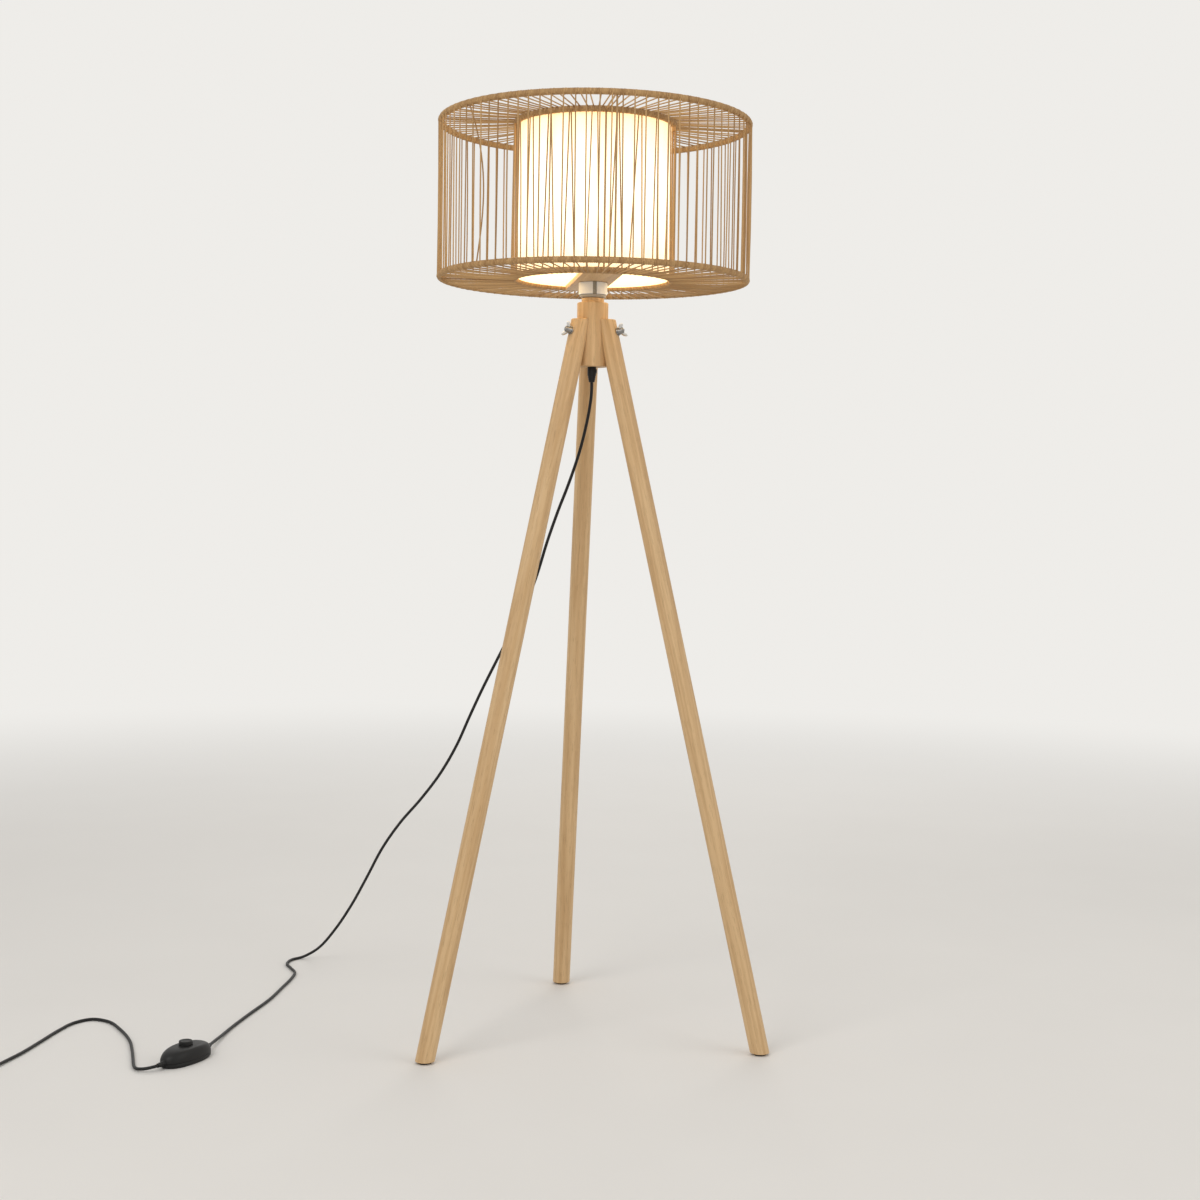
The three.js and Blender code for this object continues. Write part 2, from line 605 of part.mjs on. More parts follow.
// One wall of a winding's facet, between two corners of its section, with the strings that
// grow out of it from left to right. Their edges are given for facet 0 and turn with the facet.
function facetWall(whole, start, end, out, facet, threads) {
  const axis = new THREE.Vector3(0, 0, 1);
  const turn = (point) => point.clone().applyAxisAngle(axis, facet * facetAngle);
  const base = columnPoint(start, 0);
  const rise = columnPoint(end, 0).sub(base).setX(0).normalize();
  const normal = new THREE.Vector3(1, 0, 0).cross(rise);
  const roots = threads.map((edges) => {
    const root = edges.map(([near, far]) => {
      const way = far.clone().sub(near);
      return near.clone().addScaledVector(way, base.clone().sub(near).dot(normal) / way.dot(normal));
    });
    return root[3].clone().sub(root[0]).dot(rise) > 0 ? root : root.reverse();
  }).map((root) => root.map(turn));
  const outwards = turn(out);
  const [lowLeft, lowRight] = [columnPoint(start, facet), columnPoint(start, facet + 1)];
  const [highLeft, highRight] = [columnPoint(end, facet), columnPoint(end, facet + 1)];
  if (roots.length > 0) {
    whole.fan(lowLeft, [...roots.flatMap((root) => [root[0], root[1]]), lowRight], outwards);
    whole.fan(highLeft, [...roots.flatMap((root) => [root[3], root[2]]), highRight], outwards);
  }
  const posts = [[lowLeft, highLeft], ...roots.flatMap((root) => [[root[0], root[3]], [root[1], root[2]]]),
    [lowRight, highRight]];
  for (let k = 0; k < posts.length; k += 2) {
    whole.quad(posts[k][0], posts[k + 1][0], posts[k + 1][1], posts[k][1], outwards);
  }
  threads.forEach((edges, k) => {
    const tips = edges.map((edge) => turn(edge[1]));
    if (tips[0].distanceTo(roots[k][0]) > tips[3].distanceTo(roots[k][0])) tips.reverse();
    const middle = tips[0].clone().add(tips[2]).multiplyScalar(0.5);
    tips.forEach((tip, j) => {
      const next = (j + 1) % tips.length;
      const away = tip.clone().add(tips[next]).multiplyScalar(0.5).sub(middle);
      whole.quad(roots[k][j], roots[k][next], tips[next], tip, away);
    });
    whole.quad(...tips, tips[0].clone().sub(roots[k][0]));
  });
}

// The cord wound round a ring wire, with strings growing out of one wall of its section.
// wallName is one of OUTSIDE_WALLS, and makeThreads(facet) gives the edges of a facet's strings.
function stringedWrap(radius, height, up, wallName, makeThreads) {
  const stringWall = OUTSIDE_WALLS.indexOf(wallName);
  const section = wrapSection(up).map(([out, rise]) => [radius + out, height + rise]);
  const turning = Math.sign(THREE.ShapeUtils.area(section.map(([x, y]) => new THREE.Vector2(x, y))));
  const whole = new Skin();
  for (let facet = 0; facet < RING_FACETS; facet += 1) {
    section.forEach((start, wall) => {
      const end = section[(wall + 1) % section.length];
      const out = new THREE.Vector3(0, start[1] - end[1], start[0] - end[0]).multiplyScalar(turning);
      facetWall(whole, start, end, out, facet, wall === stringWall ? makeThreads(facet) : []);
    });
  }
  return whole.geometry();
}

// The section's outside walls from WRAP_START_DEGREES on. Upright strings grow out of the first.
// Radial strings grow outwards from the one near level, and inwards from the last.
const OUTSIDE_WALLS = ['outer', 'level', 'inner'];

const stringReach = WRAP_RADIUS - stringClear; // from a wire's centre to a free string's end

function spokes(radius, allowance) {
  const bars = [];
  for (const height of [bottomRingHeight, topRingHeight]) {
    for (let k = 0; k < SPOKES; k += 1) {
      const spoke = bar([0, -innerFacet - allowance, height], [0, -outerFacet + allowance, height], radius,
        LEAST_SIDES);
      bars.push(spoke.rotateZ((k * 2 * Math.PI) / SPOKES));
    }
  }
  return bars;
}

function cords() {
  const group = new THREE.Group();
  const notches = spokes(SPOKE_DIAMETER / 2 + GAP, 0);
  const wound = (name, ...shape) => group.add(named(name, 'cord', cut(stringedWrap(...shape), notches)));
  const upright = (ringRadius, facetRadius, sides, low, high) => (facet) => sides.map((side) => {
    const place = quarter(ringRadius, side);
    const away = stray(facet * 2 + side) * STRING_SLANT;
    return stringEdges(new THREE.Vector3(place, -facetRadius - stringOffset, low),
      new THREE.Vector3(place + away, -facetRadius - stringOffset, high));
  });
  // "outer" and "inner" are the places of a radial string's ends, as [outwards, height].
  const radial = (outer, inner, rootAtInner) => (facet) => [-1, 1].map((side) => {
    const away = (stray(facet * 2 + side) * STRING_SLANT) / 2;
    const far = new THREE.Vector3(quarter(outerRingRadius, side) + away, -outer[0], outer[1]);
    const near = new THREE.Vector3(quarter(INNER_RING_RADIUS, side), -inner[0], inner[1]);
    return rootAtInner ? stringEdges(near, far) : stringEdges(far, near);
  });

  wound('side_cords', outerRingRadius, topRingHeight, 1, 'outer',
    upright(outerRingRadius, outerFacet, [-1, 1], topRingHeight, bottomRingHeight + stringReach));
  wound('inner_cords', INNER_RING_RADIUS, bottomRingHeight, -1, 'outer',
    upright(INNER_RING_RADIUS, innerFacet, [1], bottomRingHeight, topRingHeight - stringReach));
  wound('top_cords', INNER_RING_RADIUS, topRingHeight, 1, 'level',
    radial([outerFacet - stringReach, topRingHeight + stringOffset],
      [innerFacet + wireRadius, topRingHeight + stringLift], true));
  wound('bottom_cords', outerRingRadius, bottomRingHeight, -1, 'inner',
    radial([outerFacet, bottomRingHeight - stringOffset],
      [innerFacet + stringReach + GAP, bottomRingHeight - stringLift], false));
  return group;
}

// A flat steel tab welded to the inner bottom wire, reaching inwards at -Y.
function tab(width, reach) {
  const half = TAB_THICKNESS / 2;
  const plate = block(width, reach, bottomRingHeight - half, bottomRingHeight + half);
  return plate.translate(0, -innerFacet + reach / 2, 0);
}

const screwPlace = innerFacet - TAB_REACH + SCREW_HEAD_DIAMETER;

function shadeFrame() {
  const pieces = [
    wire(outerRingRadius, bottomRingHeight), wire(outerRingRadius, topRingHeight),
    wire(INNER_RING_RADIUS, bottomRingHeight), wire(INNER_RING_RADIUS, topRingHeight),
    ...spokes(SPOKE_DIAMETER / 2, 0),
  ];
  for (let k = 0; k < SPOKES; k += 1) {
    const turn = (k * 2 * Math.PI) / SPOKES;
    for (const radius of [outerFacet, innerFacet]) {
      const upright = bar([0, -radius, bottomRingHeight], [0, -radius, topRingHeight], SPOKE_DIAMETER / 2,
        LEAST_SIDES);
      pieces.push(upright.rotateZ(turn));
    }
    const forBoard = k % 2 === 0;
    pieces.push(tab(forBoard ? TAB_WIDTH : LUG_WIDTH, forBoard ? TAB_REACH : LUG_REACH).rotateZ(turn));
  }
  const holes = [1, -1].map((side) => solid(rod(SCREW_DIAMETER / 2 + GAP, bottomRingHeight - OVERRUN,
    bottomRingHeight + OVERRUN, SMALL_SIDES).translate(0, side * screwPlace, 0)));
  const whole = holes.reduce((frame, hole) => frame.subtract(hole), fused(pieces));
  return named('shade_frame', 'framePaint', skin(whole));
}

function diffuser() {
  const low = bottomRingHeight + TAB_THICKNESS / 2 + GAP;
  const high = topRingHeight - SPOKE_DIAMETER / 2 + GAP;
  const outside = INNER_RING_RADIUS - DIFFUSER_INSET;
  return named('diffuser', 'film', pipe(outside, outside - DIFFUSER_WALL, low, high, RING_FACETS));
}

function board() {
  const endRadius = INNER_RING_RADIUS - WRAP_RADIUS - BOARD_END_GAP;
  const plank = solid(block(BOARD_WIDTH, 2 * endRadius + OVERRUN, boardBottom, boardTop));
  const round = solid(rod(endRadius, boardBottom - OVERRUN, boardTop + OVERRUN, 3 * LARGE_SIDES));
  const tools = [solid(rod(SHELL_DIAMETER / 2 + GAP, boardBottom - OVERRUN, boardTop + OVERRUN,
    LARGE_SIDES))];
  for (const side of [1, -1]) {
    const rebateLow = bottomRingHeight - TAB_THICKNESS / 2 - GAP;
    const rebate = block(TAB_WIDTH + 2 * GAP, TAB_REACH, rebateLow, boardTop + OVERRUN);
    tools.push(solid(rebate.translate(0, side * (innerFacet - TAB_REACH / 2 - GAP), 0)));
    const pilot = rod(SCREW_DIAMETER / 2 + GAP, bottomRingHeight - SCREW_LENGTH, boardTop + OVERRUN,
      SMALL_SIDES);
    tools.push(solid(pilot.translate(0, side * screwPlace, 0)));
  }
  const shaped = tools.reduce((whole, tool) => whole.subtract(tool), plank.intersect(round));
  return named('carrier_board', 'wood', skin(shaped));
}

function boardScrews() {
  const group = new THREE.Group();
  const seat = bottomRingHeight + TAB_THICKNESS / 2 + GAP;
  const [shank, head] = [SCREW_DIAMETER / 2, SCREW_HEAD_DIAMETER / 2];
  const foot = bottomRingHeight - BOARD_THICKNESS / 2 + GAP;
  const [crownRadius, crownRise] = SCREW_CROWN_SHARES;
  for (const [name, side] of [['rear_board_screw', 1], ['front_board_screw', -1]]) {
    const screw = turned([
      [0, foot], [shank, foot], [shank, seat], [head, seat],
      [head * crownRadius, seat + SCREW_HEAD_HEIGHT * crownRise], [0, seat + SCREW_HEAD_HEIGHT],
    ], SMALL_SIDES);
    group.add(named(name, 'steel', screw.translate(0, side * screwPlace, 0)));
  }
  return group;
}

// Mains lead

const gripTop = HUB_BOTTOM - GAP;

function cordGrip() {
  const group = new THREE.Group();
  const [body, tip, bore] = [GRIP_DIAMETER / 2, GRIP_TIP_DIAMETER / 2, CORD_DIAMETER / 2 + GAP];
  const [waist, low] = [gripTop - GRIP_BODY, gripTop - GRIP_LENGTH];
  const screwHeight = (gripTop + waist) / 2;
  const grip = looped([[bore, low], [tip, low], [body, waist], [body, gripTop], [bore, gripTop]],
    MIDDLE_SIDES);
  const pocket = bar([bore + GAP, 0, screwHeight], [body + OVERRUN, 0, screwHeight],
    GRIP_SCREW_DIAMETER / 2 + GAP, SMALL_SIDES);
  group.add(named('cord_grip', 'black', cut(grip, [pocket])));
  const screw = bar([bore + 2 * GAP, 0, screwHeight], [body + GRIP_SCREW_PROUD, 0, screwHeight],
    GRIP_SCREW_DIAMETER / 2, SMALL_SIDES);
  group.add(named('grip_screw', 'steel', screw));
  // The lead inside the lamp, from the grip's mouth to the lampholder's terminals.
  const lead = rod(CORD_DIAMETER / 2, gripTop - GRIP_LENGTH, insertBottom - GAP, CORD_SIDES);
  group.add(named('inner_lead', 'black', lead));
  return group;
}

function disc(radius, sides) {
  const outline = new THREE.Shape();
  for (let k = 0; k < sides; k += 1) {
    const angle = ((k + 0.5) * 2 * Math.PI) / sides;
    const [x, y] = [radius * Math.cos(angle), radius * Math.sin(angle)];
    if (k === 0) outline.moveTo(x, y);
    else outline.lineTo(x, y);
  }
  return outline;
}

function tube(points, steps) {
  const curve = new THREE.CatmullRomCurve3(points.map((p) => new THREE.Vector3(...p)), false, 'centripetal');
  return new THREE.ExtrudeGeometry(disc(CORD_DIAMETER / 2, CORD_SIDES), {
    steps, extrudePath: curve, bevelEnabled: false,
  });
}

const coilStart = new THREE.Vector3(...LOWER_ROUTE.at(-1));
const coilHeading = new THREE.Vector3(COIL_HEADING[0], COIL_HEADING[1], 0).normalize();
const coilRight = new THREE.Vector3(coilHeading.y, -coilHeading.x, 0);
const coilLead = CORD_DIAMETER + GAP; // the straight end of the coil's own tube
const layerTurns = COIL_TURNS / 2;
const coilOutside = COIL_RADIUS + (COIL_PITCH * layerTurns) / 2;
const coilCentre = coilStart.clone().addScaledVector(coilHeading, coilLead)
  .addScaledVector(coilRight, coilOutside);

// The coil's centreline after a number of turns: it spirals in on the floor, climbs a layer
// in the half turn where it reverses, and spirals out again on top.
function coilPoint(turns) {
  const radius = coilOutside - COIL_PITCH * (layerTurns - Math.abs(turns - layerTurns));
  const climbStart = layerTurns - COIL_CLIMB_TURNS / 2;
  const climb = THREE.MathUtils.smoothstep(turns, climbStart, climbStart + COIL_CLIMB_TURNS);
  const angle = turns * 2 * Math.PI;
  return coilCentre.clone()
    .addScaledVector(coilRight, -radius * Math.cos(angle))
    .addScaledVector(coilHeading, radius * Math.sin(angle))
    .setZ(COIL_REST + COIL_PITCH * climb);
}

function coilLine() {
  const steps = COIL_TURNS * COIL_STEPS;
  const line = [];
  for (let k = 0; k <= steps; k += 1) line.push(coilPoint(k / COIL_STEPS));
  const first = line[0].clone().addScaledVector(coilHeading, -coilLead + GAP);
  const last = line.at(-1).clone().addScaledVector(coilHeading, coilLead);
  return [first, ...line, last];
}

// A tube of rings round a line of points, with flat ends.
function ringedTube(line, radius, sides) {
  const positions = [];
  const faces = [];
  const up = new THREE.Vector3(0, 0, 1);
  line.forEach((point, k) => {
    const way = line[Math.min(k + 1, line.length - 1)].clone().sub(line[Math.max(k - 1, 0)]);
    const side = way.cross(up).normalize();
    for (let j = 0; j < sides; j += 1) {
      const angle = (j * 2 * Math.PI) / sides;
      const spot = point.clone().addScaledVector(side, radius * Math.cos(angle))
        .addScaledVector(up, radius * Math.sin(angle));
      positions.push(spot.x, spot.y, spot.z);
    }
  });
  for (let k = 0; k < line.length - 1; k += 1) {
    for (let j = 0; j < sides; j += 1) {
      const [a, b] = [k * sides + j, k * sides + ((j + 1) % sides)];
      faces.push(a, b, a + sides, b, b + sides, a + sides);
    }
  }
  const last = (line.length - 1) * sides;
  for (let j = 1; j < sides - 1; j += 1) {
    faces.push(0, j + 1, j, last, last + j, last + j + 1);
  }
  const geometry = new THREE.BufferGeometry();
  geometry.setAttribute('position', new THREE.Float32BufferAttribute(positions, 3));
  geometry.setIndex(faces);
  return closed(geometry);
}

// The least gap between turns, measured on the line's points that lie over half a turn apart.
function leastGap(line) {
  let least = Infinity;
  line.forEach((point, k) => {
    for (let j = k + COIL_STEPS / 2; j < line.length; j += 1) {
      least = Math.min(least, point.distanceTo(line[j]));
    }
  });
  return least - CORD_DIAMETER;
}

// A flat strap round the coil's bundle, standing across it at the turn's far side.
function coilTie() {
  const reach = coilOutside + CORD_DIAMETER / 2 + GAP;
  const inner = coilOutside - COIL_PITCH * layerTurns - CORD_DIAMETER / 2 - GAP;
  const floor = COIL_REST - CORD_DIAMETER / 2 - GAP;
  const ceiling = COIL_REST + COIL_PITCH + CORD_DIAMETER / 2 + GAP;
  const outside = block(reach - inner + 2 * TIE_WALL, TIE_WIDTH, floor - TIE_WALL, ceiling + TIE_WALL);
  const inside = block(reach - inner, TIE_WIDTH + OVERRUN, floor, ceiling);
  const strap = cut(outside, [inside]).translate((reach + inner) / 2, 0, 0);
  const turn = Math.atan2(coilRight.y, coilRight.x);
  return named('coil_tie', 'black', strap.rotateZ(turn).translate(coilCentre.x, coilCentre.y, 0));
}

function coil() {
  const line = coilLine();
  console.log(`coil: least gap between turns ${leastGap(line).toFixed(2)} mm`);
  return named('coil', 'black', ringedTube(line, CORD_DIAMETER / 2, COIL_SIDES));
}

// Foot switch

const switchStart = new THREE.Vector3(...UPPER_ROUTE.at(-1));
const switchEnd = new THREE.Vector3(...LOWER_ROUTE[0]);
const switchMiddle = switchStart.clone().add(switchEnd).multiplyScalar(0.5);
const switchTurn = Math.atan2(switchEnd.y - switchStart.y, switchEnd.x - switchStart.x);

// A superellipse of unit half axes, scaled to a half length and a half width.
function oval(halfLength, halfWidth) {
  const outline = new THREE.Shape();
  for (let k = 0; k < SWITCH_SIDES; k += 1) {
    const angle = (k * 2 * Math.PI) / SWITCH_SIDES;
    const [c, s] = [Math.cos(angle), Math.sin(angle)];
    const power = 2 / SWITCH_SQUARENESS;
    const x = halfLength * Math.sign(c) * Math.abs(c) ** power;
    const y = halfWidth * Math.sign(s) * Math.abs(s) ** power;
    if (k === 0) outline.moveTo(x, y);
    else outline.lineTo(x, y);
  }
  return outline;
}

// The oval drawn in level by level: each level is [height, share of the half axes].
function domed(halfLength, halfWidth, levels) {
  const outline = oval(halfLength, halfWidth).getPoints().slice(0, SWITCH_SIDES);
  const rings = levels.map(([height, share]) => outline.map((p) => [p.x * share, p.y * share, height]));
  const positions = rings.flat(2);
  const faces = [];
  for (let k = 0; k < levels.length - 1; k += 1) {
    for (let j = 0; j < SWITCH_SIDES; j += 1) {
      const [a, b] = [k * SWITCH_SIDES + j, k * SWITCH_SIDES + ((j + 1) % SWITCH_SIDES)];
      faces.push(a, b, a + SWITCH_SIDES, b, b + SWITCH_SIDES, a + SWITCH_SIDES);
    }
  }
  const last = (levels.length - 1) * SWITCH_SIDES;
  for (let j = 1; j < SWITCH_SIDES - 1; j += 1) {
    faces.push(0, j + 1, j, last, last + j, last + j + 1);
  }
  const geometry = new THREE.BufferGeometry();
  geometry.setAttribute('position', new THREE.Float32BufferAttribute(positions, 3));
  geometry.setIndex(faces);
  return closed(geometry);
}

// Dome levels as shares of the height above the base, with the share of the half axes left there.
const DOME_SHARES = [[0, 1], [0.3, 0.985], [0.6, 0.92], [0.83, 0.78], [1, 0.56]];

function dome(halfLength, halfWidth, low, high) {
  return domed(halfLength, halfWidth, DOME_SHARES.map(([up, left]) => [low + up * (high - low), left]));
}

function footSwitch() {
  const group = new THREE.Group();
  group.position.set(switchMiddle.x, switchMiddle.y, 0);
  group.rotation.z = switchTurn;
  const [halfLength, halfWidth] = [SWITCH_LENGTH / 2, SWITCH_WIDTH / 2];
  const wall = SWITCH_WALL;
  const leadHole = bar([-SWITCH_LENGTH, 0, CORD_ENTRY_HEIGHT], [SWITCH_LENGTH, 0, CORD_ENTRY_HEIGHT],
    CORD_DIAMETER / 2 + GAP, SMALL_SIDES);

  const tray = domed(halfLength, halfWidth, [[0, SWITCH_FOOT_SHARE], [wall, 1], [SWITCH_BASE, 1]]);
  const trayInside = domed(halfLength - wall, halfWidth - wall, [[wall, 1], [SWITCH_BASE + OVERRUN, 1]]);
  group.add(named('switch_base', 'black', cut(tray, [trayInside, leadHole])));

  const coverLow = SWITCH_BASE + GAP;
  const cover = dome(halfLength, halfWidth, coverLow, SWITCH_HEIGHT);
  const coverInside = dome(halfLength - wall, halfWidth - wall, coverLow - wall, SWITCH_HEIGHT - wall);
  const buttonHole = rod(BUTTON_DIAMETER / 2 + GAP, coverLow, SWITCH_HEIGHT + OVERRUN, LARGE_SIDES);
  group.add(named('switch_cover', 'black', cut(cover, [coverInside, leadHole, buttonHole])));

  const button = BUTTON_DIAMETER / 2;
  const [shoulder, top] = BUTTON_CROWN_SHARES;
  const skirt = SWITCH_HEIGHT - wall - BUTTON_SKIRT;
  const crown = SWITCH_HEIGHT + BUTTON_PROUD;
  group.add(named('switch_button', 'black', turned([
    [0, skirt], [button, skirt], [button, crown - BUTTON_PROUD / 3],
    [button * shoulder, crown - BUTTON_PROUD / 8], [button * top, crown], [0, crown],
  ], LARGE_SIDES)));

  const blockTop = skirt - BUTTON_TRAVEL - GAP;
  const contacts = block(BLOCK_LENGTH, BLOCK_WIDTH, wall + GAP, blockTop);
  group.add(named('switch_block', 'white', contacts));
  return group;
}

// Plug

const plugMouth = coilLine().at(-1).clone().addScaledVector(coilHeading, PLUG_DROP_RUN)
  .setZ(PLUG_THICKNESS / 2 + GAP);

function plug() {
  const group = new THREE.Group();
  group.position.set(plugMouth.x, plugMouth.y, plugMouth.z);
  group.rotation.z = Math.atan2(coilHeading.y, coilHeading.x);
  const [half, thick, neck] = [PLUG_WIDTH / 2, PLUG_THICKNESS / 2, CORD_DIAMETER];
  const [start, end] = [PLUG_RELIEF, PLUG_RELIEF + PLUG_LENGTH];
  const outline = new THREE.Shape([
    [start, -neck], [start + PLUG_LENGTH / 3, -half], [end - half / 3, -half], [end, -half * PLUG_FACE_SHARE],
    [end, half * PLUG_FACE_SHARE], [end - half / 3, half], [start + PLUG_LENGTH / 3, half], [start, neck],
  ].map(([x, y]) => new THREE.Vector2(x, y)));
  const plan = new THREE.ExtrudeGeometry(outline, { depth: PLUG_THICKNESS, bevelEnabled: false });
  plan.translate(0, 0, -thick);
  const profile = new THREE.Shape([
    [start, -neck], [start + PLUG_LENGTH / 3, -thick], [end, -thick],
    [end, thick], [start + PLUG_LENGTH / 3, thick], [start, neck],
  ].map(([x, y]) => new THREE.Vector2(x, y)));
  const side = new THREE.ExtrudeGeometry(profile, { depth: PLUG_WIDTH, bevelEnabled: false });
  side.rotateX(Math.PI / 2).translate(0, half, 0);
  const [mouth, root] = RELIEF_SHARES.map((share) => share * CORD_DIAMETER);
  const relief = turned([[0, 0], [mouth, 0], [root, start + neck], [0, start + neck]], SMALL_SIDES);
  relief.rotateY(Math.PI / 2);
  const bores = [1, -1].map((way) => solid(bar([end - PIN_EMBED - GAP, (way * PIN_SPACING) / 2, 0],
    [end + OVERRUN, (way * PIN_SPACING) / 2, 0], PIN_DIAMETER / 2 + GAP, SMALL_SIDES)));
  const body = solid(plan).intersect(solid(side)).add(solid(relief));
  group.add(named('plug_body', 'black', skin(bores.reduce((whole, bore) => whole.subtract(bore), body))));
  for (const [name, way] of [['left_plug_pin', 1], ['right_plug_pin', -1]]) {
    const place = (way * PIN_SPACING) / 2;
    const pin = turned([[0, end - PIN_EMBED], [PIN_DIAMETER / 2, end - PIN_EMBED],
      [PIN_DIAMETER / 2, end + PIN_LENGTH - PIN_DIAMETER / 2],
      [PIN_DIAMETER / 4, end + PIN_LENGTH], [0, end + PIN_LENGTH]], SMALL_SIDES);
    group.add(named(name, 'steel', pin.rotateY(Math.PI / 2).translate(0, place, 0)));
  }
  return group;
}

function leads() {
  const group = new THREE.Group();
  group.add(named('upper_lead', 'black', tube(UPPER_ROUTE, UPPER_STEPS)));
  group.add(named('lower_lead', 'black', tube(LOWER_ROUTE, LOWER_STEPS)));
  group.add(coil());
  group.add(coilTie());
  const from = coilLine().at(-1).clone().addScaledVector(coilHeading, GAP);
  const to = plugMouth.clone().addScaledVector(coilHeading, -GAP);
  const quarterRun = PLUG_DROP_RUN / 4;
  const path = [from, from.clone().addScaledVector(coilHeading, quarterRun),
    to.clone().addScaledVector(coilHeading, -quarterRun), to];
  group.add(named('plug_lead', 'black', tube(path.map((p) => p.toArray()), PLUG_LEAD_STEPS)));
  return group;
}

// The lamp

const lamp = new THREE.Group();
lamp.position.y = -axisShift;
lamp.add(hub());
['rear', 'left', 'right'].forEach((side, k) => lamp.add(leg(side, (k * 2 * Math.PI) / LEG_COUNT)));
lamp.add(lampholder(), bulb(), board(), boardScrews(), shadeFrame(), cords(), diffuser());
lamp.add(cordGrip(), leads(), footSwitch(), plug());

export default lamp;
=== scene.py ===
import json
import math

import bmesh
import bpy
import numpy as np
from mathutils import Matrix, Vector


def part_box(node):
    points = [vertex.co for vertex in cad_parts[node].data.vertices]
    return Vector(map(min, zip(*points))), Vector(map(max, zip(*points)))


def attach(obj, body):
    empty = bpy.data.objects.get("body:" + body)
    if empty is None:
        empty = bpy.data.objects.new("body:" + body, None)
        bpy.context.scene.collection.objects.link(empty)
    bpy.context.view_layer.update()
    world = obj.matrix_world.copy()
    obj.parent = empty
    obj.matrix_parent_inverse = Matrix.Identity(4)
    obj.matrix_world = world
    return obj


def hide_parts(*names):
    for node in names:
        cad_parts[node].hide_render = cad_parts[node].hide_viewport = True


# A tripod floor lamp with a drum shade of rattan cord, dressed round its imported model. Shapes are
# worked out in millimetres in the model's own frame, +Z up. They become metres where a mesh or a
# curve is made.

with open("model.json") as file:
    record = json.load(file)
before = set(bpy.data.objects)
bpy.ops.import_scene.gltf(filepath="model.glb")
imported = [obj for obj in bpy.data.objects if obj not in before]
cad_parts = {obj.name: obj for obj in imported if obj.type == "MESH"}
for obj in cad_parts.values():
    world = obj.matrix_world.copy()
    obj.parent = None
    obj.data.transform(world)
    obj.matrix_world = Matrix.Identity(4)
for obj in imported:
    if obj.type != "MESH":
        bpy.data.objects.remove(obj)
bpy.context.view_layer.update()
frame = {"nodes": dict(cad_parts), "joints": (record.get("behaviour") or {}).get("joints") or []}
MM = 0.001
TURN = 2 * math.pi
UP = np.array([0.0, 0.0, 1.0])
ORIGIN = 0 * UP


def low(node):
    return np.array(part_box(node)[0]) / MM


def high(node):
    return np.array(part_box(node)[1]) / MM


def span(node):
    """The heights of a node's underside and top."""
    return low(node)[2], high(node)[2]


def half_width(node):
    return (high(node)[0] - low(node)[0]) / 2


def middle(node):
    return (low(node) + high(node)) / 2


FLOOR_MARK = middle("diffuser") * (1, 1, 0)  # the lamp's axis on the floor


def unit(vectors):
    return vectors / np.maximum(np.linalg.norm(vectors, axis=-1, keepdims=True), 1e-12)


def join(*parts):
    """Points from their coordinates, each spread to the shape of the others."""
    return np.stack(np.broadcast_arrays(*parts), -1)


def shares(count):
    return np.linspace(0, 1, count)


def circle(count):
    """Even angles of a full turn."""
    return np.arange(count) * TURN / count


def smoothstep(share):
    share = np.clip(share, 0, 1)
    return share * share * (3 - 2 * share)


def swung(points, turn):
    """Turns points about Z."""
    c, s = math.cos(turn), math.sin(turn)
    return points @ np.array([[c, s, 0], [-s, c, 0], [0, 0, 1]])


def placed(name, data):
    made = bpy.data.objects.new(name, data)
    bpy.context.scene.collection.objects.link(made)
    return made


def aim(thing, right, top, back, place):
    """Puts a camera or lamp at a place, looking away from back."""
    columns = [*right, 0, *top, 0, *back, 0, *np.asarray(place) * MM, 1]
    thing.matrix_world = Matrix([columns[k::4] for k in range(4)])


# Camera, fitted to the two rings, the hub and the three feet as the photograph shows them

LENS = 55.493
EYE_DISTANCE = 2986.2
EYE_HEIGHT = 863.1
EYE_AZIMUTH = math.radians(-7.3812)
PITCH_DOWN = math.radians(3.0006)
PAN_RIGHT = math.radians(0.3569)
ROLL = math.radians(0.8594)


def make_camera():
    """Turns a level camera that faces the lamp's axis by its pan, then its pitch, then its roll."""
    ahead = np.array([-math.sin(EYE_AZIMUTH), math.cos(EYE_AZIMUTH), 0])
    aside = np.array([math.cos(EYE_AZIMUTH), math.sin(EYE_AZIMUTH), 0])
    level = ahead * math.cos(PAN_RIGHT) + aside * math.sin(PAN_RIGHT)
    side = aside * math.cos(PAN_RIGHT) - ahead * math.sin(PAN_RIGHT)
    forward = level * math.cos(PITCH_DOWN) - UP * math.sin(PITCH_DOWN)
    above = UP * math.cos(PITCH_DOWN) + level * math.sin(PITCH_DOWN)
    right = side * math.cos(ROLL) + above * math.sin(ROLL)
    top = above * math.cos(ROLL) - side * math.sin(ROLL)
    data = bpy.data.cameras.new("camera")
    data.lens = LENS
    camera = placed("camera", data)
    aim(camera, right, top, -forward, FLOOR_MARK - ahead * EYE_DISTANCE + UP * EYE_HEIGHT)
    bpy.context.scene.camera = camera


make_camera()


# Finishes: shader maths written as Python sums

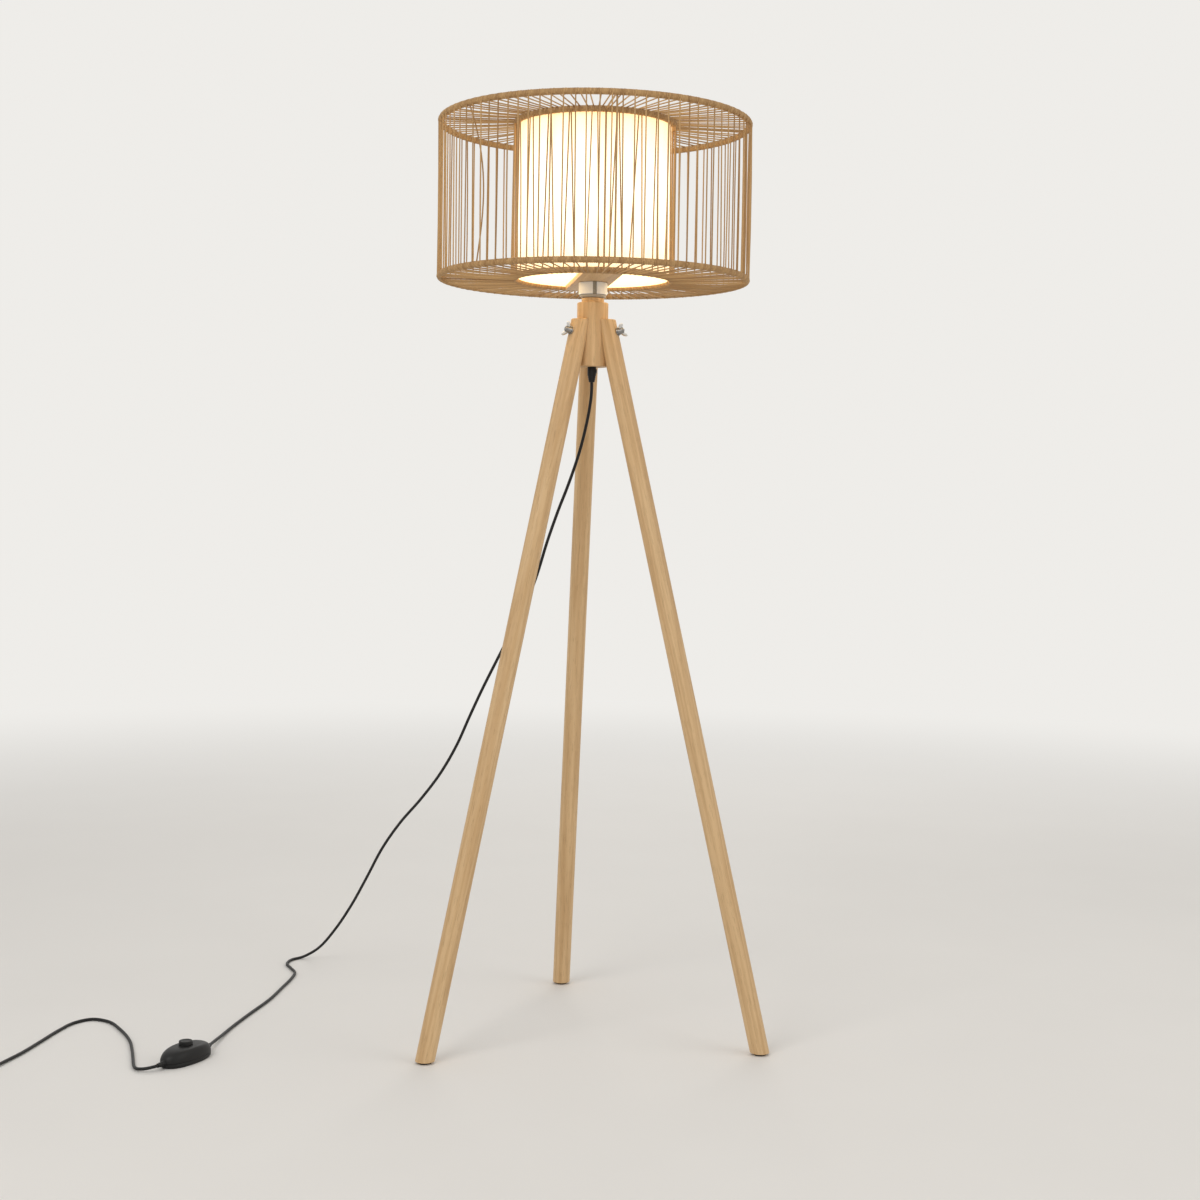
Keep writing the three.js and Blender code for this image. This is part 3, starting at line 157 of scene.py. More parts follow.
class Value:
    """One output of a shader node. Python's signs add Math nodes that work on it."""

    def __init__(self, nodes, socket):
        self.nodes = nodes
        self.socket = socket

    def math(self, operation, first, second=0.0):
        return self.nodes.node("Math", {"operation": operation}, {0: first, 1: second})

    def __add__(self, other):
        return self.math("ADD", self, other)

    def __sub__(self, other):
        return self.math("SUBTRACT", self, other)

    def __rsub__(self, other):
        return self.math("SUBTRACT", other, self)

    def __mul__(self, other):
        return self.math("MULTIPLY", self, other)

    def __gt__(self, other):
        return self.math("GREATER_THAN", self, other)

    __radd__ = __add__

    def wave(self):
        """A sine of the value in turns, from 0 to 1."""
        return self.math("SINE", self * TURN) * 0.5 + 0.5

    def noise(self, scale, detail=2.0, roughness=0.5):
        sockets = {"Vector": self, "Scale": scale, "Detail": detail, "Roughness": roughness}
        return self.nodes.node("TexNoise", {}, sockets)

    def scaled(self, *scale):
        return self.nodes.node("VectorMath", {"operation": "MULTIPLY"}, {0: self, 1: scale})

    def turned(self, *angles):
        return self.nodes.node("Mapping", {}, {"Vector": self, "Rotation": angles})

    def part(self, axis):
        return self.nodes.node("SeparateXYZ", {}, {0: self}, output="XYZ".index(axis))


SEEN_RAYS = ("Is Camera Ray", "Is Glossy Ray", "Is Transmission Ray")


class Nodes:
    """A node tree, and the nodes that are added to it."""

    def __init__(self, tree):
        self.tree = tree

    def feed(self, socket, value):
        if isinstance(value, Value):
            self.tree.links.new(value.socket, socket)
        elif isinstance(value, (int, float)) or socket.type != "RGBA":
            socket.default_value = value
        else:
            socket.default_value = (*value, 1.0)[:4]

    def node(self, kind, settings=None, sockets=None, output=0):
        """Adds a node of a type, makes its settings, then gives its sockets values or links."""
        made = self.tree.nodes.new("ShaderNode" + kind)
        for name, value in (settings or {}).items():
            setattr(made, name, value)
        for name, value in (sockets or {}).items():
            self.feed(made.inputs[name], value)
        return Value(self, made.outputs[output])

    def seen(self):
        """1 for a ray that shows the background to the eye, directly or in a surface."""
        return sum(self.node("LightPath", output=kind) for kind in SEEN_RAYS)

    def surface(self, share, first, second, output):
        """Mixes two shaders and shows the mix."""
        mix = self.node("MixShader", {}, {0: share, 1: first, 2: second})
        self.feed(self.tree.nodes[output].inputs["Surface"], mix)


class Finish(Nodes):
    """A material and its slot. Its Principled sockets take plain values or Values."""

    def __init__(self, name, slot=None, **sockets):
        self.material = bpy.data.materials.new(name)
        self.material.use_nodes = True
        super().__init__(self.material.node_tree)
        self.shader = self.tree.nodes["Principled BSDF"]
        self.slot = slot
        self.put(**sockets)

    def put(self, **sockets):
        """Sets Principled sockets; base_color means Base Color."""
        for name, value in sockets.items():
            socket = next(s for s in self.shader.inputs if s.name.lower() == name.replace("_", " "))
            self.feed(socket, value)
        return self

    def place(self):
        return self.node("TexCoord", output="Object")

    def thread(self, axis):
        """The piece's own UV: X in metres along it, and Y in turns across it."""
        return self.node("UVMap", {"uv_map": "UVMap"}).part(axis)

    def kept(self, name):
        """A value kept on the piece's points."""
        return self.node("Attribute", {"attribute_name": name}, output="Fac")

    def joined(self, *parts):
        return self.node("CombineXYZ", {}, dict(enumerate(parts)))

    def ramp(self, value, *stops):
        """A colour ramp through stops of a place and a colour."""
        made = self.node("ValToRGB", {}, {0: value})
        elements = made.socket.node.color_ramp.elements
        while len(elements) < len(stops):
            elements.new(0.5)
        for element, (place, colour) in zip(elements, stops):
            element.position = place
            element.color = (*colour, 1.0)
        return made

    def mixed(self, share, first, second):
        return self.node("Mix", {"data_type": "RGBA"}, {0: share, 6: first, 7: second}, output=2)

    def bumped(self, height, distance, strength=1.0):
        """Feeds a Bump node's normal; distance is the relief's depth in metres."""
        sockets = {"Height": height, "Distance": distance, "Strength": strength}
        return self.put(normal=self.node("Bump", {}, sockets))


def halfway(first, second):
    return tuple(0.5 * (a + b) for a, b in zip(first, second))


def wood(name, tilt=0.0, turn=0.0, along="Z", pale=(0.72, 0.50, 0.27), deep=(0.47, 0.27, 0.11)):
    """Oiled pale hardwood. The grain runs along Z of coordinates turned back by the piece's own
    turn about Z and its tilt about X: slow bands across it, fine fibres and short dark pores."""
    finish = Finish(name, "wood", specular_ior_level=0.42)
    upright = finish.place().turned(0, 0, -turn).turned(-tilt, 0, 0)
    if along == "Y":
        upright = upright.turned(math.pi / 2, 0, 0)
    bands = (upright.scaled(38, 38, 1.3).noise(1.0, 2.0, 0.55) * 7.0).wave()
    fibres = upright.scaled(900, 900, 16).noise(1.0, 3.0, 0.6)
    streaks = upright.scaled(170, 170, 3.5).noise(1.0)
    pores = upright.scaled(1500, 1500, 42).noise(1.0, 1.0, 0.4) > 0.66
    stain = upright.noise(5.0)
    tone = bands * 0.30 + fibres * 0.34 + streaks * 0.42 + stain * 0.30 - 0.28
    colour = finish.ramp(tone, (0.12, pale), (0.55, halfway(pale, deep)), (1.0, deep))
    dark = tuple(0.55 * part for part in deep)
    finish.put(base_color=finish.mixed(pores * 0.42, colour, dark))
    finish.put(roughness=fibres * 0.16 + 0.44)
    return finish.bumped(fibres * 0.6 - pores * 0.7 + streaks * 0.4, 0.00012, 0.55)


def rattan(name, pale, deep):
    """Peeled cane cord, satin, with long fibres and a tone of its own for each strand. On the
    windings the kept tone also carries painted shade.
    """
    finish = Finish(name, "rattan", specular_ior_level=0.38)
    run, across, tone = finish.thread("X"), finish.thread("Y"), finish.kept("tone")
    fibres = finish.joined(run * 55.0, across * 9.0, tone * 40.0).noise(1.0, 3.0, 0.62)
    patches = finish.joined(run * 14.0, tone * 60.0).noise(1.0)
    shade = tone * 0.62 + fibres * 0.42 + patches * 0.36 - 0.22
    finish.put(base_color=finish.ramp(shade, (0.1, deep), (0.5, halfway(pale, deep)), (0.92, pale)))
    finish.put(roughness=fibres * 0.2 + 0.46)
    return finish.bumped(fibres, 0.00009, 0.7)


def metal(name, slot, colour, rough, painted_shade_colour=None):
    """Bright metal with a faint uneven polish. With painted_shade_colour, its kept tone runs from
    that colour at 0 up to its own colour at 1: low tones are painted shade.
    """
    finish = Finish(name, slot, base_color=colour, metallic=1.0)
    if painted_shade_colour:
        finish.put(base_color=finish.mixed(finish.kept("tone"), painted_shade_colour, colour))
    finish.put(roughness=finish.place().noise(160.0, 3.0, 0.6) * 0.10 + rough)
    return finish.bumped(finish.place().noise(900.0), 0.00002, 0.4)


def moulded(name, slot, colour, rough, grain=1400.0, worn=0.12):
    """Moulded plastic or rubber: a fine eroded grain and slow changes of gloss."""
    finish = Finish(name, slot, specular_ior_level=0.45 if max(colour) > 0.1 else 0.28)
    cloud = finish.place().noise(45.0)
    grains = finish.place().noise(grain, 2.0, 0.6)
    lighter = tuple(min(1.0, part * 1.35 + 0.002) for part in colour)
    finish.put(base_color=finish.mixed(cloud * 0.45, colour, lighter))
    finish.put(roughness=grains * worn + cloud * 0.08 + rough)
    return finish.bumped(grains, 0.00003, 0.5)


DIFFUSER_GLOW = 1.25
THREADS_PER_METRE = 1 / 0.0009
WARP_THREADS = 1100              # round the drum


def lit_linen(name):
    """Fine linen on film, lit from inside: warp and weft threads modulate both colour and light,
    which is strongest half way up, at the bulb."""
    finish = Finish(name, "diffuser_fabric", roughness=0.9, specular_ior_level=0.2,
                    emission_strength=DIFFUSER_GLOW)
    run, angle, height = finish.thread("X"), finish.thread("Y"), finish.place().part("Z")
    slub = finish.joined(run * 90.0, angle * 700.0).noise(1.0)
    weft = (run * THREADS_PER_METRE + slub * 0.5).wave()
    warp = (angle * WARP_THREADS + slub * 0.6).wave()
    weave = weft * 0.5 + warp * 0.5
    bottom, top = span("diffuser")
    off = (height - (bottom + top) / 2 * MM) * (2 / (top - bottom) / MM)
    hot = finish.mixed(1 - off * off, (1.0, 0.66, 0.30), (1.0, 0.90, 0.66))
    finish.put(base_color=finish.mixed(weave, (0.86, 0.76, 0.58), (0.95, 0.88, 0.74)))
    finish.put(emission_color=finish.mixed(weave * 0.16 + 0.84, (0.10, 0.06, 0.03), hot))
    return finish.bumped(weave + slub * 0.4, 0.00012, 0.6)


LEG_TURNS = {"rear": 0.0, "left": TURN / 3, "right": 2 * TURN / 3}
FOOT_CIRCLE_RADIUS = 304
LEG_TOP_RADIUS = 23.4            # from the lamp's axis to a leg's axis at the leg's top
LEG_RADIUS = 15
LEG_SLOPE = (FOOT_CIRCLE_RADIUS - LEG_TOP_RADIUS) / high("rear_leg")[2]
SPLAY = math.atan(LEG_SLOPE)

hub_wood = wood("hub_wood")
board_wood = wood("board_wood", along="Y", pale=(0.68, 0.46, 0.24))
leg_wood = {side: wood(side + "_leg_wood", SPLAY, turn) for side, turn in LEG_TURNS.items()}
string_rattan = rattan("rattan_string", (0.62, 0.39, 0.17), (0.27, 0.135, 0.045))
# Zinc plate with painted shade: low kept tones darken it towards the shaded colour, so bolts,
# washers and nut bosses are darker and the wings keep the zinc's own colour.
zinc = metal("zinc_plate", "steel", (0.76, 0.75, 0.72), 0.24, painted_shade_colour=(0.24, 0.23, 0.22))
rolled_brass = metal("rolled_brass", None, (0.80, 0.58, 0.24), 0.26)
cap_metal = metal("bulb_cap_metal", "bulb_metal", (0.82, 0.82, 0.83), 0.24)
white_moulded = moulded("white_moulding", "white_plastic", (0.84, 0.82, 0.76), 0.30)
# A darker copy of the white moulding for the lampholder's cap and shell: painted shade.
holder_painted_shade_moulded = moulded("holder_painted_shade_moulding", "white_plastic", (0.40, 0.36, 0.29), 0.34)
black_moulded = moulded("black_moulding", "black_plastic", (0.009, 0.009, 0.009), 0.36)
sheath = moulded("lead_sheath", "lead_sheath", (0.010, 0.010, 0.010), 0.42, 2600.0, worn=0.10)
glide_rubber = moulded("glide_rubber", "foot_rubber", (0.040, 0.037, 0.034), 0.62, 900.0)
wire_lacquer = moulded("wire_lacquer", "frame_steel", (0.40, 0.24, 0.10), 0.34, 500.0)
fabric = lit_linen("lit_linen")
glowing_glass = Finish("glowing_opal_glass", "opal_glass", base_color=(0.95, 0.90, 0.80),
                       roughness=0.25, emission_color=(1.0, 0.84, 0.58), emission_strength=3.0)


# Surfaces: grids of points worked out as whole arrays

class Form:
    """Grids of points gathered into one mesh. Every cell of a grid is a quad. Its UV runs in
    metres along the rows and in turns across the columns, and "tone" is kept on its points."""

    def __init__(self):
        self.points, self.quads, self.uv, self.tone = [], [], [], []
        self.count = 0

    def add(self, grids, along=False, tone=0.5):
        """grids is [rows, columns, 3] or [copies, rows, columns, 3]. The last column joins the
        first, and with along the last row joins the first row too."""
        grids = grids if grids.ndim == 4 else grids[None]
        copies, rows, columns = grids.shape[:3]
        row = np.arange(rows if along else rows - 1)[:, None]
        row, column = join(row, np.arange(columns)).reshape(-1, 2).T
        corners = [(row, column), (row, column + 1), (row + 1, column + 1), (row + 1, column)]
        quad = join(*((r % rows) * columns + c % columns for r, c in corners))
        start = self.count + np.arange(copies)[:, None, None] * rows * columns
        self.quads.append((quad[None] + start).reshape(-1, 4))
        middles = grids.mean(axis=2)
        steps = np.linalg.norm(np.roll(middles, -1, axis=1) - middles, axis=2) * MM
        run = np.concatenate([np.zeros((copies, 1)), np.cumsum(steps, axis=1)], axis=1)
        uv = [join(run[:, r], c / columns) for r, c in corners]
        self.uv.append(np.stack(uv, axis=2).reshape(-1, 2))
        self.points.append(grids.reshape(-1, 3))
        self.tone.append(np.broadcast_to(
            np.asarray(tone, float)[..., None, None] if np.ndim(tone) == 1 else tone,
            grids.shape[:3]).ravel())
        self.count += copies * rows * columns
        return self

    def piece(self, name, finish, body, *nodes, crease=38.0):
        """Makes the mesh, welds points that meet, turns its faces outwards and rides it."""
        mesh = bpy.data.meshes.new(name)
        points, quads = np.concatenate(self.points) * MM, np.concatenate(self.quads)
        mesh.vertices.add(len(points))
        mesh.vertices.foreach_set("co", points.astype(np.float32).ravel())
        mesh.loops.add(quads.size)
        mesh.loops.foreach_set("vertex_index", quads.astype(np.int32).ravel())
        mesh.polygons.add(len(quads))
        mesh.polygons.foreach_set("loop_start", np.arange(0, quads.size, 4, dtype=np.int32))
        mesh.update(calc_edges=True)
        layer = mesh.uv_layers.new(name="UVMap")
        layer.uv.foreach_set("vector", np.concatenate(self.uv).astype(np.float32).ravel())
        kept = mesh.attributes.new("tone", "FLOAT", "POINT")
        kept.data.foreach_set("value", np.concatenate(self.tone).astype(np.float32))
        return dressed(name, mesh, finish, body, nodes, crease)


def dressed(name, mesh, finish, body, nodes, crease):
    """Welds and turns a mesh, then makes it a piece that rides on a body and replaces nodes."""
    shape = bmesh.new()
    shape.from_mesh(mesh)
    bmesh.ops.remove_doubles(shape, verts=shape.verts, dist=1e-7)
    bmesh.ops.dissolve_degenerate(shape, edges=shape.edges, dist=1e-8)
    bmesh.ops.recalc_face_normals(shape, faces=shape.faces)
    shape.to_mesh(mesh)
    shape.free()
    mesh.shade_smooth()
    mesh.set_sharp_from_angle(angle=math.radians(crease))
    return ridden(placed(name, mesh), finish, body, nodes)


def ridden(made, finish, body, nodes):
    made.data.materials.append(finish.material)
    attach(made, body)
    if nodes:
        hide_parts(*nodes)
    return made


def make(grid, name, finish, body, *nodes, along=False, crease=38.0, tone=0.5):
    """A piece of one grid."""
    return Form().add(grid, along=along, tone=tone).piece(name, finish, body, *nodes, crease=crease)


def rounded(corners, closed=False, steps=5):
    """A profile through (radius, height, rounding) corners. Each corner is cut back by its
    rounding and bridged by a quadratic curve, with a holding point on the flats beside it."""
    corners = np.asarray(corners, float)
    share = shares(steps + 1)[:, None]
    path = []
    for k, (radius, height, rounding) in enumerate(corners):
        place = np.array([radius, height])
        if rounding == 0 or (not closed and k in (0, len(corners) - 1)):
            path.append(place[None])
            continue
        back = place + rounding * unit(corners[k - 1, :2] - place)
        on = place + rounding * unit(corners[(k + 1) % len(corners), :2] - place)
        curve = (1 - share) ** 2 * back + 2 * share * (1 - share) * place + share ** 2 * on
        path.append(np.vstack([place + 1.3 * (back - place), curve, place + 1.3 * (on - place)]))
    return np.vstack(path)


def circled(radius, angle, height):
    """Points round Z at a radius and a height, at angles from the front (-Y) towards +X."""
    return join(radius * np.sin(angle), -radius * np.cos(angle), height)


def around(angle, radius, height):
    """Points round the lamp's own axis."""
    return circled(radius, angle, height) + FLOOR_MARK


def turned(profile, sides=96, centre=FLOOR_MARK):
    """Turns a profile of (radius, height) round an upright axis."""
    profile = np.asarray(profile, float)
    return circled(profile[:, :1], circle(sides), profile[:, 1:]) + centre


def capped(grid, first, last):
    """Closes a grid's first and last rows onto points."""
    ends = [np.broadcast_to(np.asarray(end, float), (1, *grid.shape[1:])) for end in (first, last)]
    return np.concatenate([ends[0], grid, ends[1]])


def framed(points, origin, ahead):
    """Moves a form from its own axes, with Z as its length, to an origin, with Z along ahead."""
    ahead = unit(np.asarray(ahead, float))
    across = unit(np.cross(ahead, UP)) if abs(ahead[2]) < 0.99 else np.array([1.0, 0, 0])
    return np.asarray(origin) + points @ np.stack([across, np.cross(ahead, across), ahead])


def spun(profile, sides, origin, ahead):
    """Turns a profile round an axis that leaves an origin along ahead."""
    return framed(turned(profile, sides, ORIGIN), origin, ahead)


def tubes(paths, normals, radius, sides):
    """Carries a circle along paths [copies, rows, 3]. At each point it stands square to the path,
    with its first axis along the normal given there. Both ends close onto the path."""
    ahead = unit(np.gradient(paths, axis=1))
    first = unit(normals - (normals * ahead).sum(-1, keepdims=True) * ahead)
    second = np.cross(ahead, first)
    angle = circle(sides)[:, None]
    ring = first[:, :, None] * np.cos(angle) + second[:, :, None] * np.sin(angle)
    ends = [np.repeat(paths[:, k, None, None], sides, axis=2) for k in (0, -1)]
    return np.concatenate([ends[0], paths[:, :, None] + ring * radius, ends[1]], axis=1)


# The mains lead: its route's points, x y z from the lamp's axis

LEAD = 5
UPPER_ROUTE = np.array([
    (0, 0, 1056.4), (0, 0, 1046), (-0.5, 0.5, 1034), (-3, 3, 1012), (-8, 9, 982), (-17, 20, 941),
    (-31, 36, 893), (-46, 53, 848), (-61, 70, 798), (-76, 87, 741), (-93, 107, 690),
    (-115, 132, 640), (-137, 157, 590), (-158, 181, 541), (-177, 203, 493), (-197, 226, 441),
    (-223, 256, 388), (-255, 293, 337), (-290, 333, 288), (-321, 369, 235), (-347, 399, 178),
    (-374, 429, 121), (-405, 464, 66), (-436, 500, 23), (-463, 514, 4.5), (-484, 499, 2.8),
    (-492, 468, 2.8), (-484, 436, 2.8), (-476, 404, 2.8), (-480, 366, 2.8), (-495, 300, 2.8),
    (-514, 222, 2.8), (-543, 135, 2.8), (-566, 62, 2.9), (-580, 6, 4.5), (-588.5, -35, 7.6),
    (-593.5, -58, 8.9), (-596.2, -70.2, 9),
])
LOWER_ROUTE = np.array([
    (-655.8, -149.8, 9), (-660, -155.4, 8.9), (-666.9, -161.3, 8.2), (-676.1, -163.8, 6.8),
    (-685.3, -162, 5.2), (-692.9, -156.3, 3.9), (-697.6, -147.9, 3.1), (-701.5, -132, 2.8),
    (-706, -100, 2.8), (-712, -58, 2.8), (-723, 0, 2.8), (-745, 62, 2.8), (-769, 108, 2.8),
    (-797, 124, 2.8), (-822, 106, 2.8), (-842, 60, 2.8), (-858, 8, 2.8), (-878, -56, 3.1),
    (-903, -119, 3.7), (-919, -162, 3.9), (-921.8, -169.5, 3.9),
])
COIL_TURNS = 4
COIL_RADIUS = 27.5               # to the middle of the turns
COIL_PITCH = 5.6                 # between neighbouring turns, and between the two layers
COIL_REST = 3.9                  # height of the first layer's axis
COIL_HEADING = unit(np.array([-0.35, -0.937, 0]))
COIL_RIGHT = np.array([COIL_HEADING[1], -COIL_HEADING[0], 0])
COIL_OUTSIDE = COIL_RADIUS + COIL_PITCH * COIL_TURNS / 4
STRAIGHT_END = LEAD + 0.3        # of the coil, before and after its turns
COIL_CENTRE = LOWER_ROUTE[-1] * (1, 1, 0) + COIL_HEADING * STRAIGHT_END + COIL_RIGHT * COIL_OUTSIDE
PLUG_RUN = 34                    # lead between the coil and the plug's relief
PLUG_HEIGHT = 7.15


def smooth_route(points, steps=8):
    """A centripetal Catmull-Rom curve: every stretch is a cubic whose end slopes come from its
    neighbours, each weighted by the square root of its length."""
    points = np.asarray(points, float)
    points = np.vstack([2 * points[0] - points[1], points, 2 * points[-1] - points[-2]])
    way = np.diff(points, axis=0)
    gap = np.linalg.norm(way, axis=1)[:, None] ** 0.5
    before, here, after = gap[:-2], gap[1:-1], gap[2:]
    start = here * (way[:-2] / before - (way[:-2] + way[1:-1]) / (before + here)) + way[1:-1]
    end = here * (way[2:] / after - (way[1:-1] + way[2:]) / (here + after)) + way[1:-1]
    t = (np.arange(steps) / steps)[:, None, None]
    curve = (points[1:-2] * (2 * t ** 3 - 3 * t ** 2 + 1) + points[2:-1] * (3 * t ** 2 - 2 * t ** 3)
             + start * (t ** 3 - 2 * t ** 2 + t) + end * (t ** 3 - t ** 2))
    return np.vstack([curve.transpose(1, 0, 2).reshape(-1, 3), points[-2]])


def coil_line(per_turn=40):
    """Spirals in on the floor, climbs a layer in the half turn where it reverses, and spirals out
    again: the radius falls and rises by a pitch each turn."""
    turns = np.linspace(0, COIL_TURNS, COIL_TURNS * per_turn + 1)[:, None]
    half = COIL_TURNS / 2
    radius = COIL_OUTSIDE - COIL_PITCH * (half - np.abs(turns - half))
    climb = smoothstep((turns - half + 0.25) / 0.5)
    return (COIL_CENTRE - COIL_RIGHT * radius * np.cos(TURN * turns)
            + COIL_HEADING * radius * np.sin(TURN * turns) + UP * (COIL_REST + COIL_PITCH * climb))


COIL_END = coil_line()[-1] + COIL_HEADING * STRAIGHT_END
PLUG_MOUTH = (COIL_END + COIL_HEADING * PLUG_RUN) * (1, 1, 0) + UP * PLUG_HEIGHT


def lower_line():
    """From the switch over the floor, round the coil and down to the plug."""
    ease = COIL_HEADING * PLUG_RUN / 4
    drop = [COIL_END, COIL_END + ease, PLUG_MOUTH - ease, PLUG_MOUTH + COIL_HEADING * LEAD]
    return np.vstack([smooth_route(LOWER_ROUTE), coil_line(), smooth_route(drop)])


def lead_piece(name, line, *nodes, **facts):
    """A round lead: a curve of one spline through the line's points, thickened to its diameter."""
    line = (line + FLOOR_MARK) * MM
    curve = bpy.data.curves.new(name, "CURVE")
    curve.dimensions = "3D"
    spline = curve.splines.new("POLY")
    spline.points.add(len(line) - 1)
    spline.points.foreach_set("co", np.hstack([line, np.ones((len(line), 1))]).ravel())
    curve.bevel_depth = LEAD * MM / 2
    curve.bevel_resolution = 4
    curve.use_fill_caps = True
    made = ridden(placed(name, curve), sheath, "base", nodes)


# Foot switch

SWITCH_LENGTH = 98
SWITCH_WIDTH = 46
SWITCH_SQUARENESS = 2.3
SWITCH_HEADING = unit((LOWER_ROUTE[0] - UPPER_ROUTE[-1]) * (1, 1, 0))
SWITCH_MIDDLE = (UPPER_ROUTE[-1] + LOWER_ROUTE[0]) / 2 * (1, 1, 0) + FLOOR_MARK


def flat_turned(points, origin, heading):
    """Moves a form that lies along X to a place on the floor, with X along heading."""
    return origin + points @ np.stack([heading, np.cross(UP, heading), UP])


def squared(part, power):
    """Draws a circle's sine or cosine towards a square's."""
    return np.sign(part) * np.abs(part) ** power


def oval(levels, heights, sides=96, hole=0.0):
    """Levels of a superellipse at shares of its half axes. With a hole, share 0 is that circle
    and the levels between are drawn out from it to the superellipse."""
    angle = circle(sides)
    rim = [half * squared(part, 2 / SWITCH_SQUARENESS) for half, part in
           ((SWITCH_LENGTH / 2, np.cos(angle)), (SWITCH_WIDTH / 2, np.sin(angle)))]
    inner = [hole * np.cos(angle), hole * np.sin(angle)]
    levels = np.asarray(levels, float)[:, None]
    level = [c + (r - c) * levels if hole else r * levels for r, c in zip(rim, inner)]
    points = join(*level, np.asarray(heights, float)[:, None])
    return flat_turned(points, SWITCH_MIDDLE, SWITCH_HEADING)


def relief(length, root, tip, ribs):
    """A tapered strain relief along Z from 0, with shallow grooves that let it bend."""
    t = shares(8 * ribs + 1)
    groove = 0.10 * (0.5 - 0.5 * np.cos(TURN * ribs * t))
    radius = (root + (tip - root) * t ** 0.8) * (1 - groove)
    lip = 0.3
    mouth = [[tip - lip, length + lip], [LEAD / 2, length + lip], [0, length]]
    return np.vstack([[0, 0], join(radius, t * length), mouth])


def foot_switch():
    """Base, cover with a parting line above it, dished button, and a relief at each end."""
    base_top, cover_top = high("switch_base")[2], high("switch_cover")[2]
    groove, play = 0.3, 0.3
    levels = [0, 0.5, 0.90, 0.94, 0.965, 0.99, 1, 1, 0.985, 0.6, 0]
    heights = np.array([0, 0, 0, 0.25, 0.9, 2.2, 3.6, 6.4, 7, 7, 7]) / 7 * base_top
    pieces = [make(oval(levels, heights), "switch_tray", black_moulded, "base", "switch_base")]

    t = shares(22)[:-1]
    dome = np.cos(t * math.pi / 2) ** 0.62
    rise = np.sin(t * math.pi / 2) ** 0.9
    hole = half_width("switch_button") + play
    start, tall = base_top + groove, cover_top - base_top - groove
    levels = [0.97, 1.0, *dome, 0.04, 0, 0, 0, 0.5]
    heights = [start, start + 0.5, *start + 0.5 + rise * (tall - 1), cover_top - 0.35,
               cover_top - 0.5, cover_top - 1.2, cover_top - 5, start]
    pieces.append(make(oval(levels, heights, hole=hole), "switch_lid", black_moulded, "base",
                       "switch_cover", along=True, crease=50.0))

    rim, dish = hole - play, 0.9
    foot, crown = span("switch_button")
    profile = [(0, foot, 0), (rim, foot, 0.4), (rim, crown, 1.5), (rim * 0.72, crown, 1.2),
               (rim * 0.55, crown - dish, 1.2), (0, crown - dish, 0)]
    make(turned(rounded(profile), 72, SWITCH_MIDDLE), "foot_button", black_moulded, "button",
         "switch_button")

    sleeve, root = 17, 4.7
    for name, mouth, beyond in (("switch_relief_in", UPPER_ROUTE[-1], UPPER_ROUTE[-2]),
                                ("switch_relief_out", LOWER_ROUTE[0], LOWER_ROUTE[1])):
        ahead = unit(beyond - mouth)
        grid = spun(relief(sleeve, 5.2, 3.3, 4), 32, mouth - root * ahead + FLOOR_MARK, ahead)
        pieces.append(make(grid, name, black_moulded, "base"))
    return pieces


# Plug

def plug():
    """A flat two-pin plug: a squared oval section that swells from the relief to a waist for the
    fingers and on to its face; two pins with black sleeves and rounded tips."""
    mouth = PLUG_MOUTH + FLOOR_MARK
    length, width, thick, start = 36, 26, 13.7, 20
    neck_width, neck_thick, corner = 4.2, 3.8, 0.72
    t = shares(33)[:, None]
    swell = smoothstep(t / 0.42)
    waist = 1 - 0.09 * np.exp(-((t - 0.68) / 0.13) ** 2)
    edge = 0.93 + 0.07 * np.clip((1 - t) / 0.05, 0, 1) ** 0.5
    half_across = (neck_width + (width / 2 - neck_width) * swell) * waist * edge
    half_thick = (neck_thick + (thick / 2 - neck_thick) * swell) * edge
    angle = circle(64)
    body = join(start + t * length, half_across * squared(np.cos(angle), corner),
                half_thick * squared(np.sin(angle), corner))
    face = start + length
    body = capped(body, (start, 0, 0), (face, 0, 0))
    shape = Form().add(flat_turned(body, mouth, COIL_HEADING))
    shape.add(spun(relief(start + 3, 3.1, 4.6, 5), 40, mouth, COIL_HEADING))
    pieces = [shape.piece("plug_moulding", black_moulded, "base", "plug_body")]
    radius, reach, boot, offset = 2, 19, 9.5, 9.3
    for side, way in (("left", 1), ("right", -1)):
        name = "plug_pin_" + side
        place = mouth + way * offset * np.cross(UP, COIL_HEADING)
        profile = rounded([(0, face - 5, 0), (radius, face - 5, 0), (radius, face + reach, 1.6),
                           (0, face + reach, 0)], steps=8)
        pieces.append(make(spun(profile, 32, place, COIL_HEADING), name, zinc, "base",
                           side + "_plug_pin"))
        profile = rounded([(0, face - 1, 0), (radius + 0.05, face - 1, 0),
                           (radius + 0.05, face + boot, 0.15), (0, face + boot, 0)])
        pieces.append(make(spun(profile, 32, place, COIL_HEADING), name + "_sleeve",
                           black_moulded, "base"))
    return pieces


def box_loop(left, bottom, right, top, rounding, steps=5):
    """A rounded rectangle, anticlockwise from its lower left corner."""
    corners = ((left, bottom), (right, bottom), (right, top), (left, top))
    return rounded([(*corner, rounding) for corner in corners], closed=True, steps=steps)


